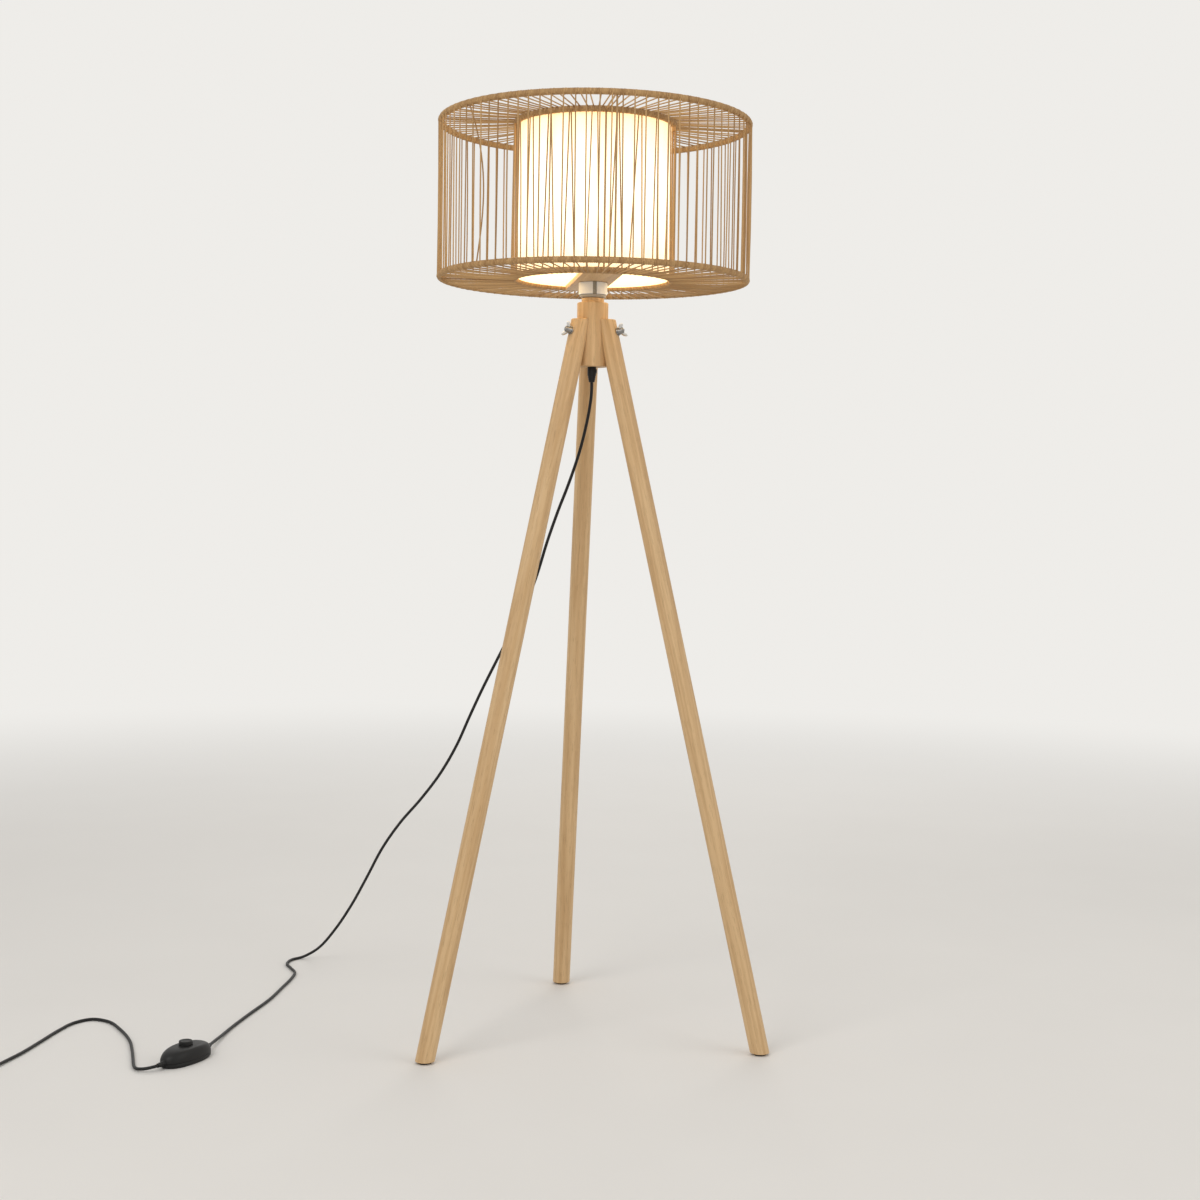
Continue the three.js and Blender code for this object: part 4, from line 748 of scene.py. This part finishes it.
def coil_strap():
    """A flat tie round the coil's bundle: a thin bar carried round a rounded rectangle."""
    slack, width, wall = 0.6, 5.6, 0.7
    floor, ceiling = COIL_REST - LEAD / 2 - wall, COIL_REST + COIL_PITCH + LEAD / 2 + wall
    loop = box_loop(COIL_OUTSIDE - COIL_PITCH * 2 - LEAD / 2 - slack, floor,
                    COIL_OUTSIDE + LEAD / 2 + slack, ceiling, 1.6)
    ahead = unit(np.roll(loop, -1, axis=0) - np.roll(loop, 1, axis=0))
    out = join(ahead[:, 1], -ahead[:, 0])
    section = box_loop(-wall / 2, -width / 2, wall / 2, width / 2, 0.2, steps=3)
    flat = loop[:, None] + out[:, None] * section[None, :, :1]
    strap = join(flat[..., 0], section[:, 1], flat[..., 1])
    strap = flat_turned(strap, COIL_CENTRE + FLOOR_MARK, COIL_RIGHT)
    return make(strap, "coil_strap", black_moulded, "base", "coil_tie", along=True)


switch_pieces = foot_switch()
plug_pieces = plug()
strap = coil_strap()
lead_piece("lead_to_switch", smooth_route(UPPER_ROUTE), "upper_lead", far_end="fitting",
           lay="hanging", with_pieces=[*switch_pieces[:3], "foot_button", "switch_block"])
lead_piece("lead_to_plug", lower_line(), "lower_lead", "coil", "plug_lead", far_end="plug",
           lay="coiled", with_pieces=[*plug_pieces, strap])


# Hub: the turned head, with a seat for each leg

def hub():
    """A closed profile turned round Z, whose wall is hollowed by the three legs' seats. At each
    height a seat is an ellipse, the level cut of a slanted cylinder, and the wall follows it
    from one of its meetings with the round to the other."""
    bottom, top = span("hub")
    radius, seat_radius = 25, LEG_RADIUS + 0.25
    skirt, shoulder, ledge = bottom + 6, top - 7.5, high("rear_leg")[2] + 0.3
    neck, bore, pocket, pocket_floor = 18, 4, 5.3, top - 20
    under = rounded([(bore, bottom, 0), (radius, bottom, 1.2), (radius, skirt, 0)])
    wall = join(radius, np.linspace(skirt + 0.5, ledge, 60))
    round_part = rounded([(radius, ledge, 0), (radius, shoulder, 1.8), (neck, shoulder, 0.5),
                          (neck, top, 1.6), (pocket, top, 0)])
    inner = [(pocket, pocket_floor), (bore, pocket_floor)]
    profile = np.vstack([under, wall, round_part, inner])
    cut = np.arange(len(profile)) < len(under) + len(wall)

    reach, height = profile[:, 0], profile[:, 1]
    away = FOOT_CIRCLE_RADIUS - LEG_SLOPE * np.minimum(height, ledge)
    deep = seat_radius / math.cos(SPLAY)
    bend = deep ** 2 - seat_radius ** 2
    rest = seat_radius ** 2 + away ** 2 - np.where(cut, reach, radius) ** 2
    root = np.sqrt(np.maximum((away * deep) ** 2 - bend * rest, 0))
    meeting = np.arccos(np.clip((away * deep - root) / bend, -1, 1))
    edge = np.arctan2(seat_radius * np.sin(meeting), away - deep * np.cos(meeting))[:, None]
    seat_steps, land_steps = 25, 18
    share = np.linspace(-1, 1, seat_steps)
    spot = meeting[:, None] * share
    seat = join(-seat_radius * np.sin(spot), away[:, None] - deep * np.cos(spot))
    land = edge + (TURN / 3 - 2 * edge) * shares(land_steps + 1)[1:-1]
    plain, land = (reach[:, None, None] * join(-np.sin(arc), np.cos(arc))
                   for arc in (edge * share, land))
    seat = np.where((cut & (meeting > 0))[:, None, None], seat, plain)
    flat = np.concatenate([seat, land], axis=1)
    sector = join(flat[..., 0], flat[..., 1], height[:, None])
    grid = np.concatenate([swung(sector, turn) for turn in LEG_TURNS.values()], axis=1)
    make(grid + FLOOR_MARK, "turned_head", hub_wood, "base", "hub", along=True, crease=32.0)


hub()


# Legs, glides and their fixings

def leg(side, turn):
    """A dowel as a stack of level cuts: at each height it is an ellipse about the slanted axis,
    drawn in a little at both ends, so that the ends are level and their edges eased."""
    bottom, top = span(side + "_leg")
    profile = rounded([(0, bottom, 0), (LEG_RADIUS, bottom, 0.9), (LEG_RADIUS, top, 1.2),
                       (0, top, 0)], steps=6)
    radius, height, angle = profile[:, :1], profile[:, 1:], circle(64)
    ahead = FOOT_CIRCLE_RADIUS - LEG_SLOPE * height + radius / math.cos(SPLAY) * np.cos(angle)
    grid = join(radius * np.sin(angle), ahead, height)
    make(swung(grid, turn) + FLOOR_MARK, side + "_dowel", leg_wood[side], "base", side + "_leg")

    pad = side + "_foot_pad"
    radius, thick = half_width(pad), high(pad)[2]
    profile = rounded([(0, 0, 0), (radius, 0, 0.7), (radius, thick, 0.5), (0, thick, 0)])
    make(turned(profile, 64, middle(pad) * (1, 1, 0)), side + "_glide", glide_rubber, "base", pad)


def threaded(radius, depth, pitch, start, end, sides=24, per_turn=6):
    """A rod along Z whose radius falls and rises once per pitch along a helix."""
    rows = int(per_turn * (end - start) / pitch)
    height = np.linspace(start, end, rows + 1)[:, None]
    angle = circle(sides)
    wall = radius - depth * (0.5 + 0.5 * np.cos(TURN * (height / pitch - angle / TURN)))
    wall[-2:] -= depth * np.array([[0.5], [1.0]])
    return capped(circled(wall, angle, height), (0, 0, start), (0, 0, end))


def wing(sign):
    """One wing of a nut: an oval section carried along a curve that sweeps out and up from the
    boss, wide at its root, full near its tip and closed by a quarter round."""
    t = shares(17)
    path = join(sign * (2.8 + 8.4 * t), 0, 3.9 + 1.2 * t + 6.4 * t ** 2.1)
    tip = np.sqrt(np.clip(1 - ((t - 0.72) / 0.28).clip(0) ** 2, 0, 1))
    wide, thick = (2.7 + 0.35 * np.sin(math.pi * t)) * tip, 1.15 * tip
    ahead = unit(np.gradient(path, axis=0))
    normal = join(-ahead[:, 2], 0, ahead[:, 0])
    angle = circle(16)
    return (path[:, None] + normal[:, None] * (wide[:, None] * np.cos(angle))[..., None]
            + np.array([0.0, 1.0, 0.0]) * (thick[:, None] * np.sin(angle))[..., None])


NUT_TURNS = {"rear": 40, "left": 65, "right": -55}  # degrees, how the wings happen to stand


def leg_fixing(side):
    """A threaded hanger bolt, a washer and a wing nut, along the nut's own joint axis."""
    joint = next(j for j in frame["joints"] if j["name"] == side + "_nut_turn")
    origin, ahead = np.array(joint["pos_m"]) / MM, np.array(joint["axis"])
    radius, depth, pitch, sunk, past = 2.95, 0.45, 1, 21, 11.3
    # The low tones of the bolt, the washer and the boss are painted shade. The full tone of the
    # wings is the zinc's own colour.
    bolt = threaded(radius, depth, pitch, -sunk, LEG_RADIUS + past)
    make(framed(bolt, origin, ahead), side + "_bolt", zinc, "base", side + "_hanger_bolt",
         crease=60.0, tone=0.2)
    hole, rim, seat = 3.3, 7, LEG_RADIUS + 0.3
    over, foot = seat + 1.2, seat + 1.5
    crown = foot + 8
    washer = rounded([(hole, seat, 0.1), (rim, seat, 0.25), (rim, over, 0.35),
                      (hole, over, 0.2)], closed=True, steps=3)
    make(spun(washer, 48, origin, ahead), side + "_plain_washer", zinc, "base", side + "_washer",
         along=True, tone=0.3)
    boss = rounded([(hole, foot, 0), (6.2, foot, 0.5), (6.0, foot + 1.8, 0.8),
                    (4.7, crown, 0.7), (hole, crown, 0.3)], closed=True, steps=4)
    nut = Form().add(turned(boss, 48, ORIGIN), along=True, tone=0.1)
    nut.add(np.stack([wing(1), wing(-1)]) + UP * foot, tone=1.0)
    turn = math.radians(NUT_TURNS[side])
    nut.points = [framed(swung(part, turn), origin, ahead) for part in nut.points]
    nut.piece(side + "_butterfly_nut", zinc, side + "_nut", side + "_wing_nut")


for side, turn in LEG_TURNS.items():
    leg(side, turn)
    leg_fixing(side)


# Lampholder, its two rings and the bulb

def split_ring(inner, outer, bottom, top, gap):
    """A ring with a slot at its front: its rounded section is carried round from one side of the
    slot to the other, and each end is closed onto the section's middle."""
    section = box_loop(inner, bottom, outer, top, 0.9, steps=4)
    half = gap / 2 / outer
    angle = np.linspace(half, TURN - half, 97)
    centre = np.broadcast_to(section.mean(axis=0), section.shape)
    columns = [centre, *[section] * len(angle), centre]
    angles = [angle[0], *angle, angle[-1]]
    return np.stack([around(a, *part.T) for part, a in zip(columns, angles)])


def lampholder():
    """The cap, the shell with its outside thread, and the two rings that clamp the board."""
    bottom, top = span("holder_cap")
    floor, hole, inside, outside = bottom + 2.2, 5.3, 18.8, 21
    cap = rounded([(hole, bottom, 0), (18, bottom, 0.8), (20.2, bottom + 1.4, 0.8),
                   (outside, bottom + 3, 0.6), (outside, top, 0.5), (inside, top, 0.3),
                   (inside, floor, 0), (hole, floor, 0)], closed=True)
    # The cap and the shell take the darker moulding, which is painted shade.
    make(turned(cap, 128), "lampholder_cap", holder_painted_shade_moulded, "base", "holder_cap", along=True)

    bottom, top = span("holder_shell")
    pitch, per_turn, sides, plain = 2.6, 10, 96, 3
    rows = int(per_turn * (top - bottom - 2 * plain) / pitch)
    height = np.linspace(bottom + plain, top - plain, rows)[:, None]
    angle = circle(sides)
    ridge = 0.5 + 0.5 * np.cos(TURN * (height / pitch - angle / TURN))
    fade = np.clip((np.minimum(height - bottom, top - height) - plain) / 2, 0, 1)
    root, inside = 19.2, 17.2
    lip = turned(rounded([(root, top - 2.5, 0), (root, top, 0.9), (inside, top, 0.7),
                          (inside, bottom, 0.4), (root, bottom, 0.4), (root, bottom + 2.5, 0)]),
                 sides)
    shell = np.concatenate([around(angle, root + 0.55 * ridge ** 1.5 * fade, height), lip])
    make(shell, "lampholder_shell", holder_painted_shade_moulded, "base", "holder_shell", along=True, crease=60.0)

    bore = 20.1
    make(split_ring(bore, 23, *span("support_ring"), 6.6), "split_support_ring", white_moulded,
         "lower_ring", "support_ring")

    bottom, top = span("shade_ring")
    profile = rounded([(bore, bottom, 0.4), (27.6, bottom, 0.8), (27.6, top, 1.2),
                       (bore, top, 0.6)], closed=True)
    ribs, angle = 48, circle(288)
    knurl = 1 + 0.014 * np.cos(ribs * angle) * (profile[:, :1] > 26)
    make(around(angle, profile[:, :1] * knurl, profile[:, 1:]), "knurled_shade_ring",
         white_moulded, "upper_ring", "shade_ring", along=True)


BULB_OUTLINE_SHARES = [(0, 0.43), (0.16, 0.52), (0.34, 0.8), (0.5, 0.97),
                       (0.64, 1), (0.8, 0.9), (0.93, 0.58), (1, 0)]  # height, radius


def bulb():
    """The envelope is a smooth curve through shares of its height and radius, turned round Z. The
    cap's wall follows the round screw thread of its holder."""
    bottom, top = span("bulb_glass")
    radius = half_width("bulb_glass")
    outline = smooth_route([(r * radius, bottom + h * (top - bottom), 0)
                            for h, r in BULB_OUTLINE_SHARES])
    outline = np.maximum(outline[:, :2], (0, bottom))
    make(turned(np.vstack([(0, bottom), outline]), 72), "opal_envelope", glowing_glass, "bulb",
         "bulb_glass", crease=60.0)
    radius, depth, pitch, contact = 12.9, 1.2, 3.6, 5
    start, end = span("bulb_base")
    start += contact
    tip = rounded([(0, start - contact, 0), (4.5, start - contact, 0.8), (5, start - 3, 0.5),
                   (11.5, start + 0.5, 1), (0, start + 1, 0)])
    cap = Form().add(threaded(radius, depth, pitch, start, end, 64, 12) + FLOOR_MARK)
    cap.add(turned(tip, 64)).piece("screw_cap", cap_metal, "bulb", "bulb_base", crease=60.0)


lampholder()
bulb()


# Strain relief under the hub

def cord_grip():
    """A collar with a clamp boss at its side, drawn in to a grooved nose round the lead. The
    screw's head is a dome with a straight slot."""
    bottom, top = span("cord_grip")
    waist, hole, mouth = top - 13, 2.6, bottom + 2
    t = shares(25)
    nose = join((7 - 2.2 * t ** 0.85) * (1 - 0.06 * (0.5 - 0.5 * np.cos(3 * TURN * t))),
                waist - t * (waist - bottom - 0.5))
    collar = rounded([(0, top, 0), (7, top, 0.6), (7, waist + 1, 0)])
    tip = [(4.3, bottom), (hole, bottom), (hole, mouth), (0, mouth)]
    grip = Form().add(turned(np.vstack([collar, nose, tip]), 64))
    centre = middle("grip_screw") * UP + FLOOR_MARK
    aside = np.array([1.0, 0, 0])
    boss = rounded([(0, 0, 0), (3.9, 0, 0), (3.9, 7.5, 0.8), (2.9, 7.5, 0.2), (2.9, 5.5, 0),
                    (0, 5.5, 0)])
    grip.add(spun(boss, 40, centre, aside))
    grip.piece("lead_grip", black_moulded, "base", "cord_grip", crease=50.0)
    head = high("grip_screw")[0] - centre[0]
    radius, sunk = 2.5, 3.5
    reach = np.linspace(radius, 0, 12)[:, None]
    angle = circle(48)
    x, y = reach * np.cos(angle), reach * np.sin(angle)
    slot = 0.7 * (np.abs(y) < 0.42) * (reach < 2.3)
    dome = head - 0.5 * (reach / radius) ** 3 - slot
    foot = np.broadcast_to([0.0, 0.0, sunk], (1, 48, 3))
    screw = np.concatenate([foot, join(x[:1], y[:1], sunk), join(x, y, dome)])
    make(framed(screw, centre, aside), "clamp_screw", zinc, "base", "grip_screw", crease=30.0)


cord_grip()


# Shade: frame, cord windings, strings and diffuser

OUTER_RING = 245
INNER_RING = 125.6
WIRE = 1.75                      # radius of a ring's wire
SPOKE = 1.5                      # radius of a spoke's or an upright's
TAB = 1.5                        # thickness of the tabs that the board is screwed to
TOP_RING = high("shade_frame")[2] - WIRE
BOTTOM_RING = low("shade_frame")[2] + WIRE
STRING = 1.1                     # radius of a string
WOUND = 5                        # outside of the cord wound on a ring, from the wire's centre
WOUND_RELIEF = 0.75              # between the crowns and the hollows of its turns
LOOP = WOUND - 0.65              # middle of a string's loop, sunk between the turns
UPRIGHT_OUT = 3.65               # upright strings outside the ring's wire
STRINGS = 88
INNER_STRINGS = 44
OUTER_TURNS = 530                # of the cord wound on each large ring
INNER_TURNS = 272
STRING_CREASE = 75.0


def shade_wires():
    """Ring wires as tori, spokes and uprights as straight bars, and four flat welded tabs."""
    form = Form()
    angle, section = circle(160)[:, None], circle(10)
    out, over = WIRE * np.cos(section), WIRE * np.sin(section)
    for radius in (OUTER_RING, INNER_RING):
        for height in (BOTTOM_RING, TOP_RING):
            form.add(around(angle, radius + out, height + over), along=True)
    quarters = circle(4)
    for height in (BOTTOM_RING, TOP_RING):
        ends = [around(quarters, radius, height) for radius in (INNER_RING, OUTER_RING)]
        form.add(tubes(np.stack(ends, 1), np.broadcast_to(UP, (4, 2, 3)), SPOKE, 12))
    for ring in (OUTER_RING, INNER_RING):
        radius = ring * math.cos(math.pi / INNER_STRINGS)
        ends = [around(quarters, radius, height) for height in (BOTTOM_RING, TOP_RING)]
        out = np.repeat(circled(1, quarters, 0)[:, None], 2, 1)
        form.add(tubes(np.stack(ends, 1), out, SPOKE, 12))
    for k, turn in enumerate(quarters):
        width, reach = (24, 20) if k % 2 == 0 else (10, 6)
        run = np.linspace(INNER_RING - reach, INNER_RING, 5)[:, None, None]
        rim = box_loop(-width / 2, -TAB / 2, width / 2, TAB / 2, 0.3, steps=2)[None]
        out, aside = circled(1, turn, 0), circled(1, turn + TURN / 4, 0)
        tab = run * out + rim[..., :1] * aside + (rim[..., 1:] + BOTTOM_RING) * UP + FLOOR_MARK
        form.add(capped(tab, tab[0].mean(axis=0), tab[-1].mean(axis=0)))
    form.piece("lacquered_wires", wire_lacquer, "shade", "shade_frame")


def winding(radius, height, turns, chance, up, strings, start, sweep, drift):
    """A cord wound round a ring wire: the section's radius follows a half circle once per turn,
    along a helix. Each turn of the cord has a tone of its own. Its hollows are darkened with
    painted shade, and the gap beside each string that loops round the ring with it is darkened with
    painted shadow."""
    per_turn, sides, gap = 6, 16, 1.6
    along = np.arange(turns * per_turn)[:, None] / per_turn
    section = np.arange(sides) / sides
    phase = along + section
    across = 2 * (phase % 1) - 1
    bulge = np.sqrt(1 - across ** 2)
    reach = WOUND - WOUND_RELIEF * (1 - bulge)
    tones = chance.uniform(0.25, 0.95, turns + 1)[np.floor(phase).astype(int) % turns]
    # Painted shade: darker in the hollows between the turns.
    tones = tones * (0.5 + 0.5 * bulge)
    angle = along / turns * TURN
    lap = (up * section * TURN - start) % TURN / sweep
    path = strings + (drift / radius * (lap - 0.5))[None, :, None]
    off = np.abs((angle[..., None] - path + math.pi) % TURN - math.pi).min(axis=2) * radius
    # Painted shadow: darker in the gap beside each string.
    tones = tones * (0.25 + 0.75 * np.clip((off - STRING) / gap, 0, 1))
    section = section * TURN
    grid = around(angle, radius + reach * np.cos(section), height + reach * np.sin(section))
    return Form().add(grid, along=True, tone=tones)


def loops(ring, height, up, angle, start, sweep, drift):
    """String loops round a ring: each is a helix about the wire, from one section angle through
    a sweep, drifting along the ring as it goes."""
    t = shares(13)
    section = start + sweep * t
    turn = angle[:, None] + drift / ring * (t - 0.5)
    reach = ring + LOOP * np.cos(section)
    path = around(turn, reach, height + up * LOOP * np.sin(section))
    out = around(turn, reach + np.cos(section), height + up * (LOOP + 1) * np.sin(section)) - path
    return tubes(path, out, STRING, 5)


def strung(ends_from, ends_to, sag, normals):
    """Straight strings in three stretches, with a slight slack pushed towards their normals."""
    t = shares(4)[:, None]
    normals = np.broadcast_to(normals, ends_from.shape)[:, None]
    path = ends_from[:, None] * (1 - t) + ends_to[:, None] * t
    path = path + normals * (np.sin(math.pi * t) * sag[:, None, None])
    return tubes(path, np.repeat(normals, 4, axis=1), STRING, 6)


def shade_cords():
    """Side strings hang outside the two large rings, radial strings run over and under between
    the rings, and thin pairs lean together against the diffuser."""
    chance = np.random.default_rng(88)
    drop = math.sqrt(LOOP ** 2 - UPRIGHT_OUT ** 2)
    under = -math.asin(drop / LOOP)
    wrap = (under, TURN * 1.36, 6)
    inner_wrap = (TURN / 4, TURN * 1.6, 3)
    cord_shift = 3 / OUTER_RING  # from an upright string to the radial string beside it
    lean = 0.008                 # radians, how unevenly the strings meet a ring

    def radial(ends, near, height, tone):
        """Strings from the outer ring to the inner one, at a height."""
        start, end = around(ends, OUTER_RING, height), around(near, INNER_RING, height)
        sag = -np.abs(chance.normal(0, 0.7, STRINGS))
        return {"grids": strung(start, end, sag, UP), "tone": tone}

    def upright(above, below, ring, sag, tone):
        """Strings outside a ring's wire, from the top ring to the bottom one."""
        start = around(above, ring + UPRIGHT_OUT, TOP_RING - drop)
        end = around(below, ring + UPRIGHT_OUT, BOTTOM_RING + drop)
        sag = chance.normal(0, sag, len(above))
        return {"grids": strung(start, end, sag, circled(1, above, 0)), "tone": tone}

    def tied(form, name):
        form.piece(name + "_strings", string_rattan, "shade", name + "_cords", crease=STRING_CREASE)

    even = (np.arange(STRINGS) + 0.5 + chance.normal(0, 0.055, STRINGS)) * TURN / STRINGS
    bottom_angle = even + chance.normal(0, 0.006, STRINGS)
    strand = chance.uniform(0.2, 1.0, STRINGS)

    side = winding(OUTER_RING, TOP_RING, OUTER_TURNS, chance, 1, even, *wrap)
    side.add(**upright(even, bottom_angle, OUTER_RING, 0.6, strand))
    tied(side.add(loops(OUTER_RING, TOP_RING, 1, even, *wrap), tone=strand), "side")

    bottom = winding(OUTER_RING, BOTTOM_RING, OUTER_TURNS, chance, -1, bottom_angle, *wrap)
    bottom.add(loops(OUTER_RING, BOTTOM_RING, -1, bottom_angle, *wrap), tone=strand)
    near = bottom_angle + cord_shift + chance.normal(0, lean, STRINGS)
    bottom.add(**radial(bottom_angle + cord_shift, near, BOTTOM_RING - LOOP, strand))
    tied(bottom, "bottom")

    top_near = even + cord_shift + chance.normal(0, lean, STRINGS)
    top = winding(INNER_RING, TOP_RING, INNER_TURNS, chance, 1, top_near, *inner_wrap)
    strand = chance.uniform(0.2, 1.0, STRINGS)
    top.add(**radial(even + cord_shift, top_near, TOP_RING + LOOP, strand))
    tied(top.add(loops(INNER_RING, TOP_RING, 1, top_near, *inner_wrap), tone=strand), "top")

    inner = winding(INNER_RING, BOTTOM_RING, INNER_TURNS, chance, -1, near, *inner_wrap)
    inner.add(loops(INNER_RING, BOTTOM_RING, -1, near, *inner_wrap), tone=strand)
    number, spread = np.arange(INNER_STRINGS), TURN / INNER_STRINGS
    pair = (number // 2 + 0.5) * 2 * spread
    way = np.where(number % 2 == 0, -1.0, 1.0) * spread
    above = pair + way * 0.16 + chance.normal(0, lean, INNER_STRINGS)
    below = pair + way * 0.52 + chance.normal(0, 0.012, INNER_STRINGS)
    strand = chance.uniform(0.3, 1.0, INNER_STRINGS)
    tied(inner.add(**upright(above, below, INNER_RING, 0.5, strand)), "inner")


def slack_strand():
    """One loose strand at the front left that bows sideways between the two large rings."""
    t = shares(17)
    angle = -np.radians(59 - 5 * t) + 0.06 * np.sin(math.pi * t ** 0.8)
    path = around(angle, OUTER_RING - 2 - 9 * np.sin(math.pi * t),
                  TOP_RING - 4 - t * (TOP_RING - BOTTOM_RING - 8))
    make(tubes(path[None], circled(1, angle, 0)[None], STRING, 8), "slack_string", string_rattan,
         "shade", crease=STRING_CREASE, tone=0.3)


def diffuser():
    """A thin drum with a turned hem at both rims and a lapped seam at the back."""
    bottom, top = span("diffuser")
    radius, wall, inset = half_width("diffuser"), 0.9, 0.4
    hem, lap, seam_width = 7, 0.25, 6
    step = np.linspace(-0.4, 0.4, 5)
    height = np.unique(np.concatenate([np.linspace(bottom, top, 40), bottom + hem + step,
                                       top - hem + step]))[:, None]
    angle = circle(256)
    near = np.minimum(height - bottom, top - height)
    proud = lap * (0.5 - 0.5 * np.tanh((near - hem) / 0.25))
    seam = lap * (0.5 - 0.5 * np.tanh(np.abs(angle - math.pi) * radius - seam_width))
    outer = radius - inset + proud + seam
    inside = around(angle, np.full_like(outer, radius - wall - inset), height)[::-1]
    make(np.concatenate([around(angle, outer, height), inside]), "linen_drum", fabric, "shade",
         "diffuser", along=True, crease=60.0)


shade_wires()
shade_cords()
slack_strand()
diffuser()


# Carrier board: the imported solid, eased at its edges

def eased(node, name, finish, body, width):
    """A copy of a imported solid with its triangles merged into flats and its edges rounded."""
    mesh = frame["nodes"][node].data.copy()
    mesh.materials.clear()
    for layer in list(mesh.uv_layers):
        mesh.uv_layers.remove(layer)
    shape = bmesh.new()
    shape.from_mesh(mesh)
    bmesh.ops.remove_doubles(shape, verts=shape.verts, dist=1e-6)
    bmesh.ops.dissolve_limit(
        shape, angle_limit=math.radians(1), verts=shape.verts, edges=shape.edges)
    sharp = [edge for edge in shape.edges
             if len(edge.link_faces) == 2 and edge.calc_face_angle(0) > math.radians(40)]
    bmesh.ops.bevel(shape, geom=sharp, offset=width * MM, segments=3, affect="EDGES", profile=0.6)
    shape.to_mesh(mesh)
    shape.free()
    dressed(name, mesh, finish, body, (node,), 30.0)


eased("carrier_board", "shade_board", board_wood, "shade", 0.7)

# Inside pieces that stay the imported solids, in these finishes
STILL_CAD = {
    "nipple": zinc, "nipple_nut": zinc, "holder_insert": white_moulded,
    "thread_sleeve": rolled_brass, "rear_board_screw": zinc, "front_board_screw": zinc,
    "inner_lead": sheath, "switch_block": white_moulded,
}
for node, finish in STILL_CAD.items():
    frame["nodes"][node].data.materials.clear()
    frame["nodes"][node].data.materials.append(finish.material)


# Stage: a pale floor, soft lamps and a pale surround

SURROUND = (0.86, 0.845, 0.815)
FLOOR_REACH = 60.0               # metres
MELTS_FROM, MELTED_AT = 1.6, 5.0  # metres from the lamp
LAMPS = [  # name, place, metres across, watts
    ("key", (-2200, -2600, 3000), 2.2, 48.0), ("fill", (2800, -1800, 2000), 2.4, 22.0),
    ("back", (800, 3000, 2600), 2.0, 24.0),
]
LAMP_TARGET = FLOOR_MARK + UP * 800


def stage():
    """The floor runs far past the lamp, and melts with distance into the surround's own colour.
    The world shows that colour to the camera, reflections and clear surfaces, and is a plain soft
    light on everything else."""
    mesh = bpy.data.meshes.new("floor")
    corners = [(x * FLOOR_REACH, y * FLOOR_REACH, 0)
               for x, y in ((-1, -1), (1, -1), (1, 1), (-1, 1))]
    mesh.from_pydata(corners, [], [(0, 1, 2, 3)])
    pale = Finish("pale_floor", roughness=0.85)
    cloud = pale.place().noise(3.0)
    pale.put(base_color=pale.mixed(cloud, (0.80, 0.785, 0.76), (0.83, 0.815, 0.79)))
    distance = pale.node("VectorMath", {"operation": "LENGTH"}, {0: pale.place()}, output="Value")
    edge = pale.node("MapRange", {"interpolation_type": "SMOOTHSTEP"},
                     {0: distance, 1: MELTS_FROM, 2: MELTED_AT})
    far = pale.node("Emission", {}, {"Color": SURROUND, "Strength": 1.0})
    pale.surface(pale.seen() * edge, Value(pale, pale.shader.outputs[0]), far, "Material Output")
    mesh.materials.append(pale.material)
    placed("floor", mesh)

    world = bpy.data.worlds.new("surround")
    bpy.context.scene.world = world
    world.use_nodes = True
    sky = Nodes(world.node_tree)
    light = sky.node("Background", {}, {"Color": (1.0, 0.985, 0.96), "Strength": 0.55})
    shown = sky.node("Background", {}, {"Color": SURROUND, "Strength": 1.0})
    sky.surface(sky.seen(), light, shown, "World Output")

    for name, place, size, power in LAMPS:
        data = bpy.data.lights.new(name, "AREA")
        data.size = size
        data.energy = power
        data.color = (1.0, 0.975, 0.94)
        back = unit(np.array(place) - LAMP_TARGET)
        right = unit(np.cross(UP, back))
        aim(placed(name, data), right, np.cross(back, right), back, place)
    bpy.context.scene.view_settings.view_transform = "Standard"


stage()
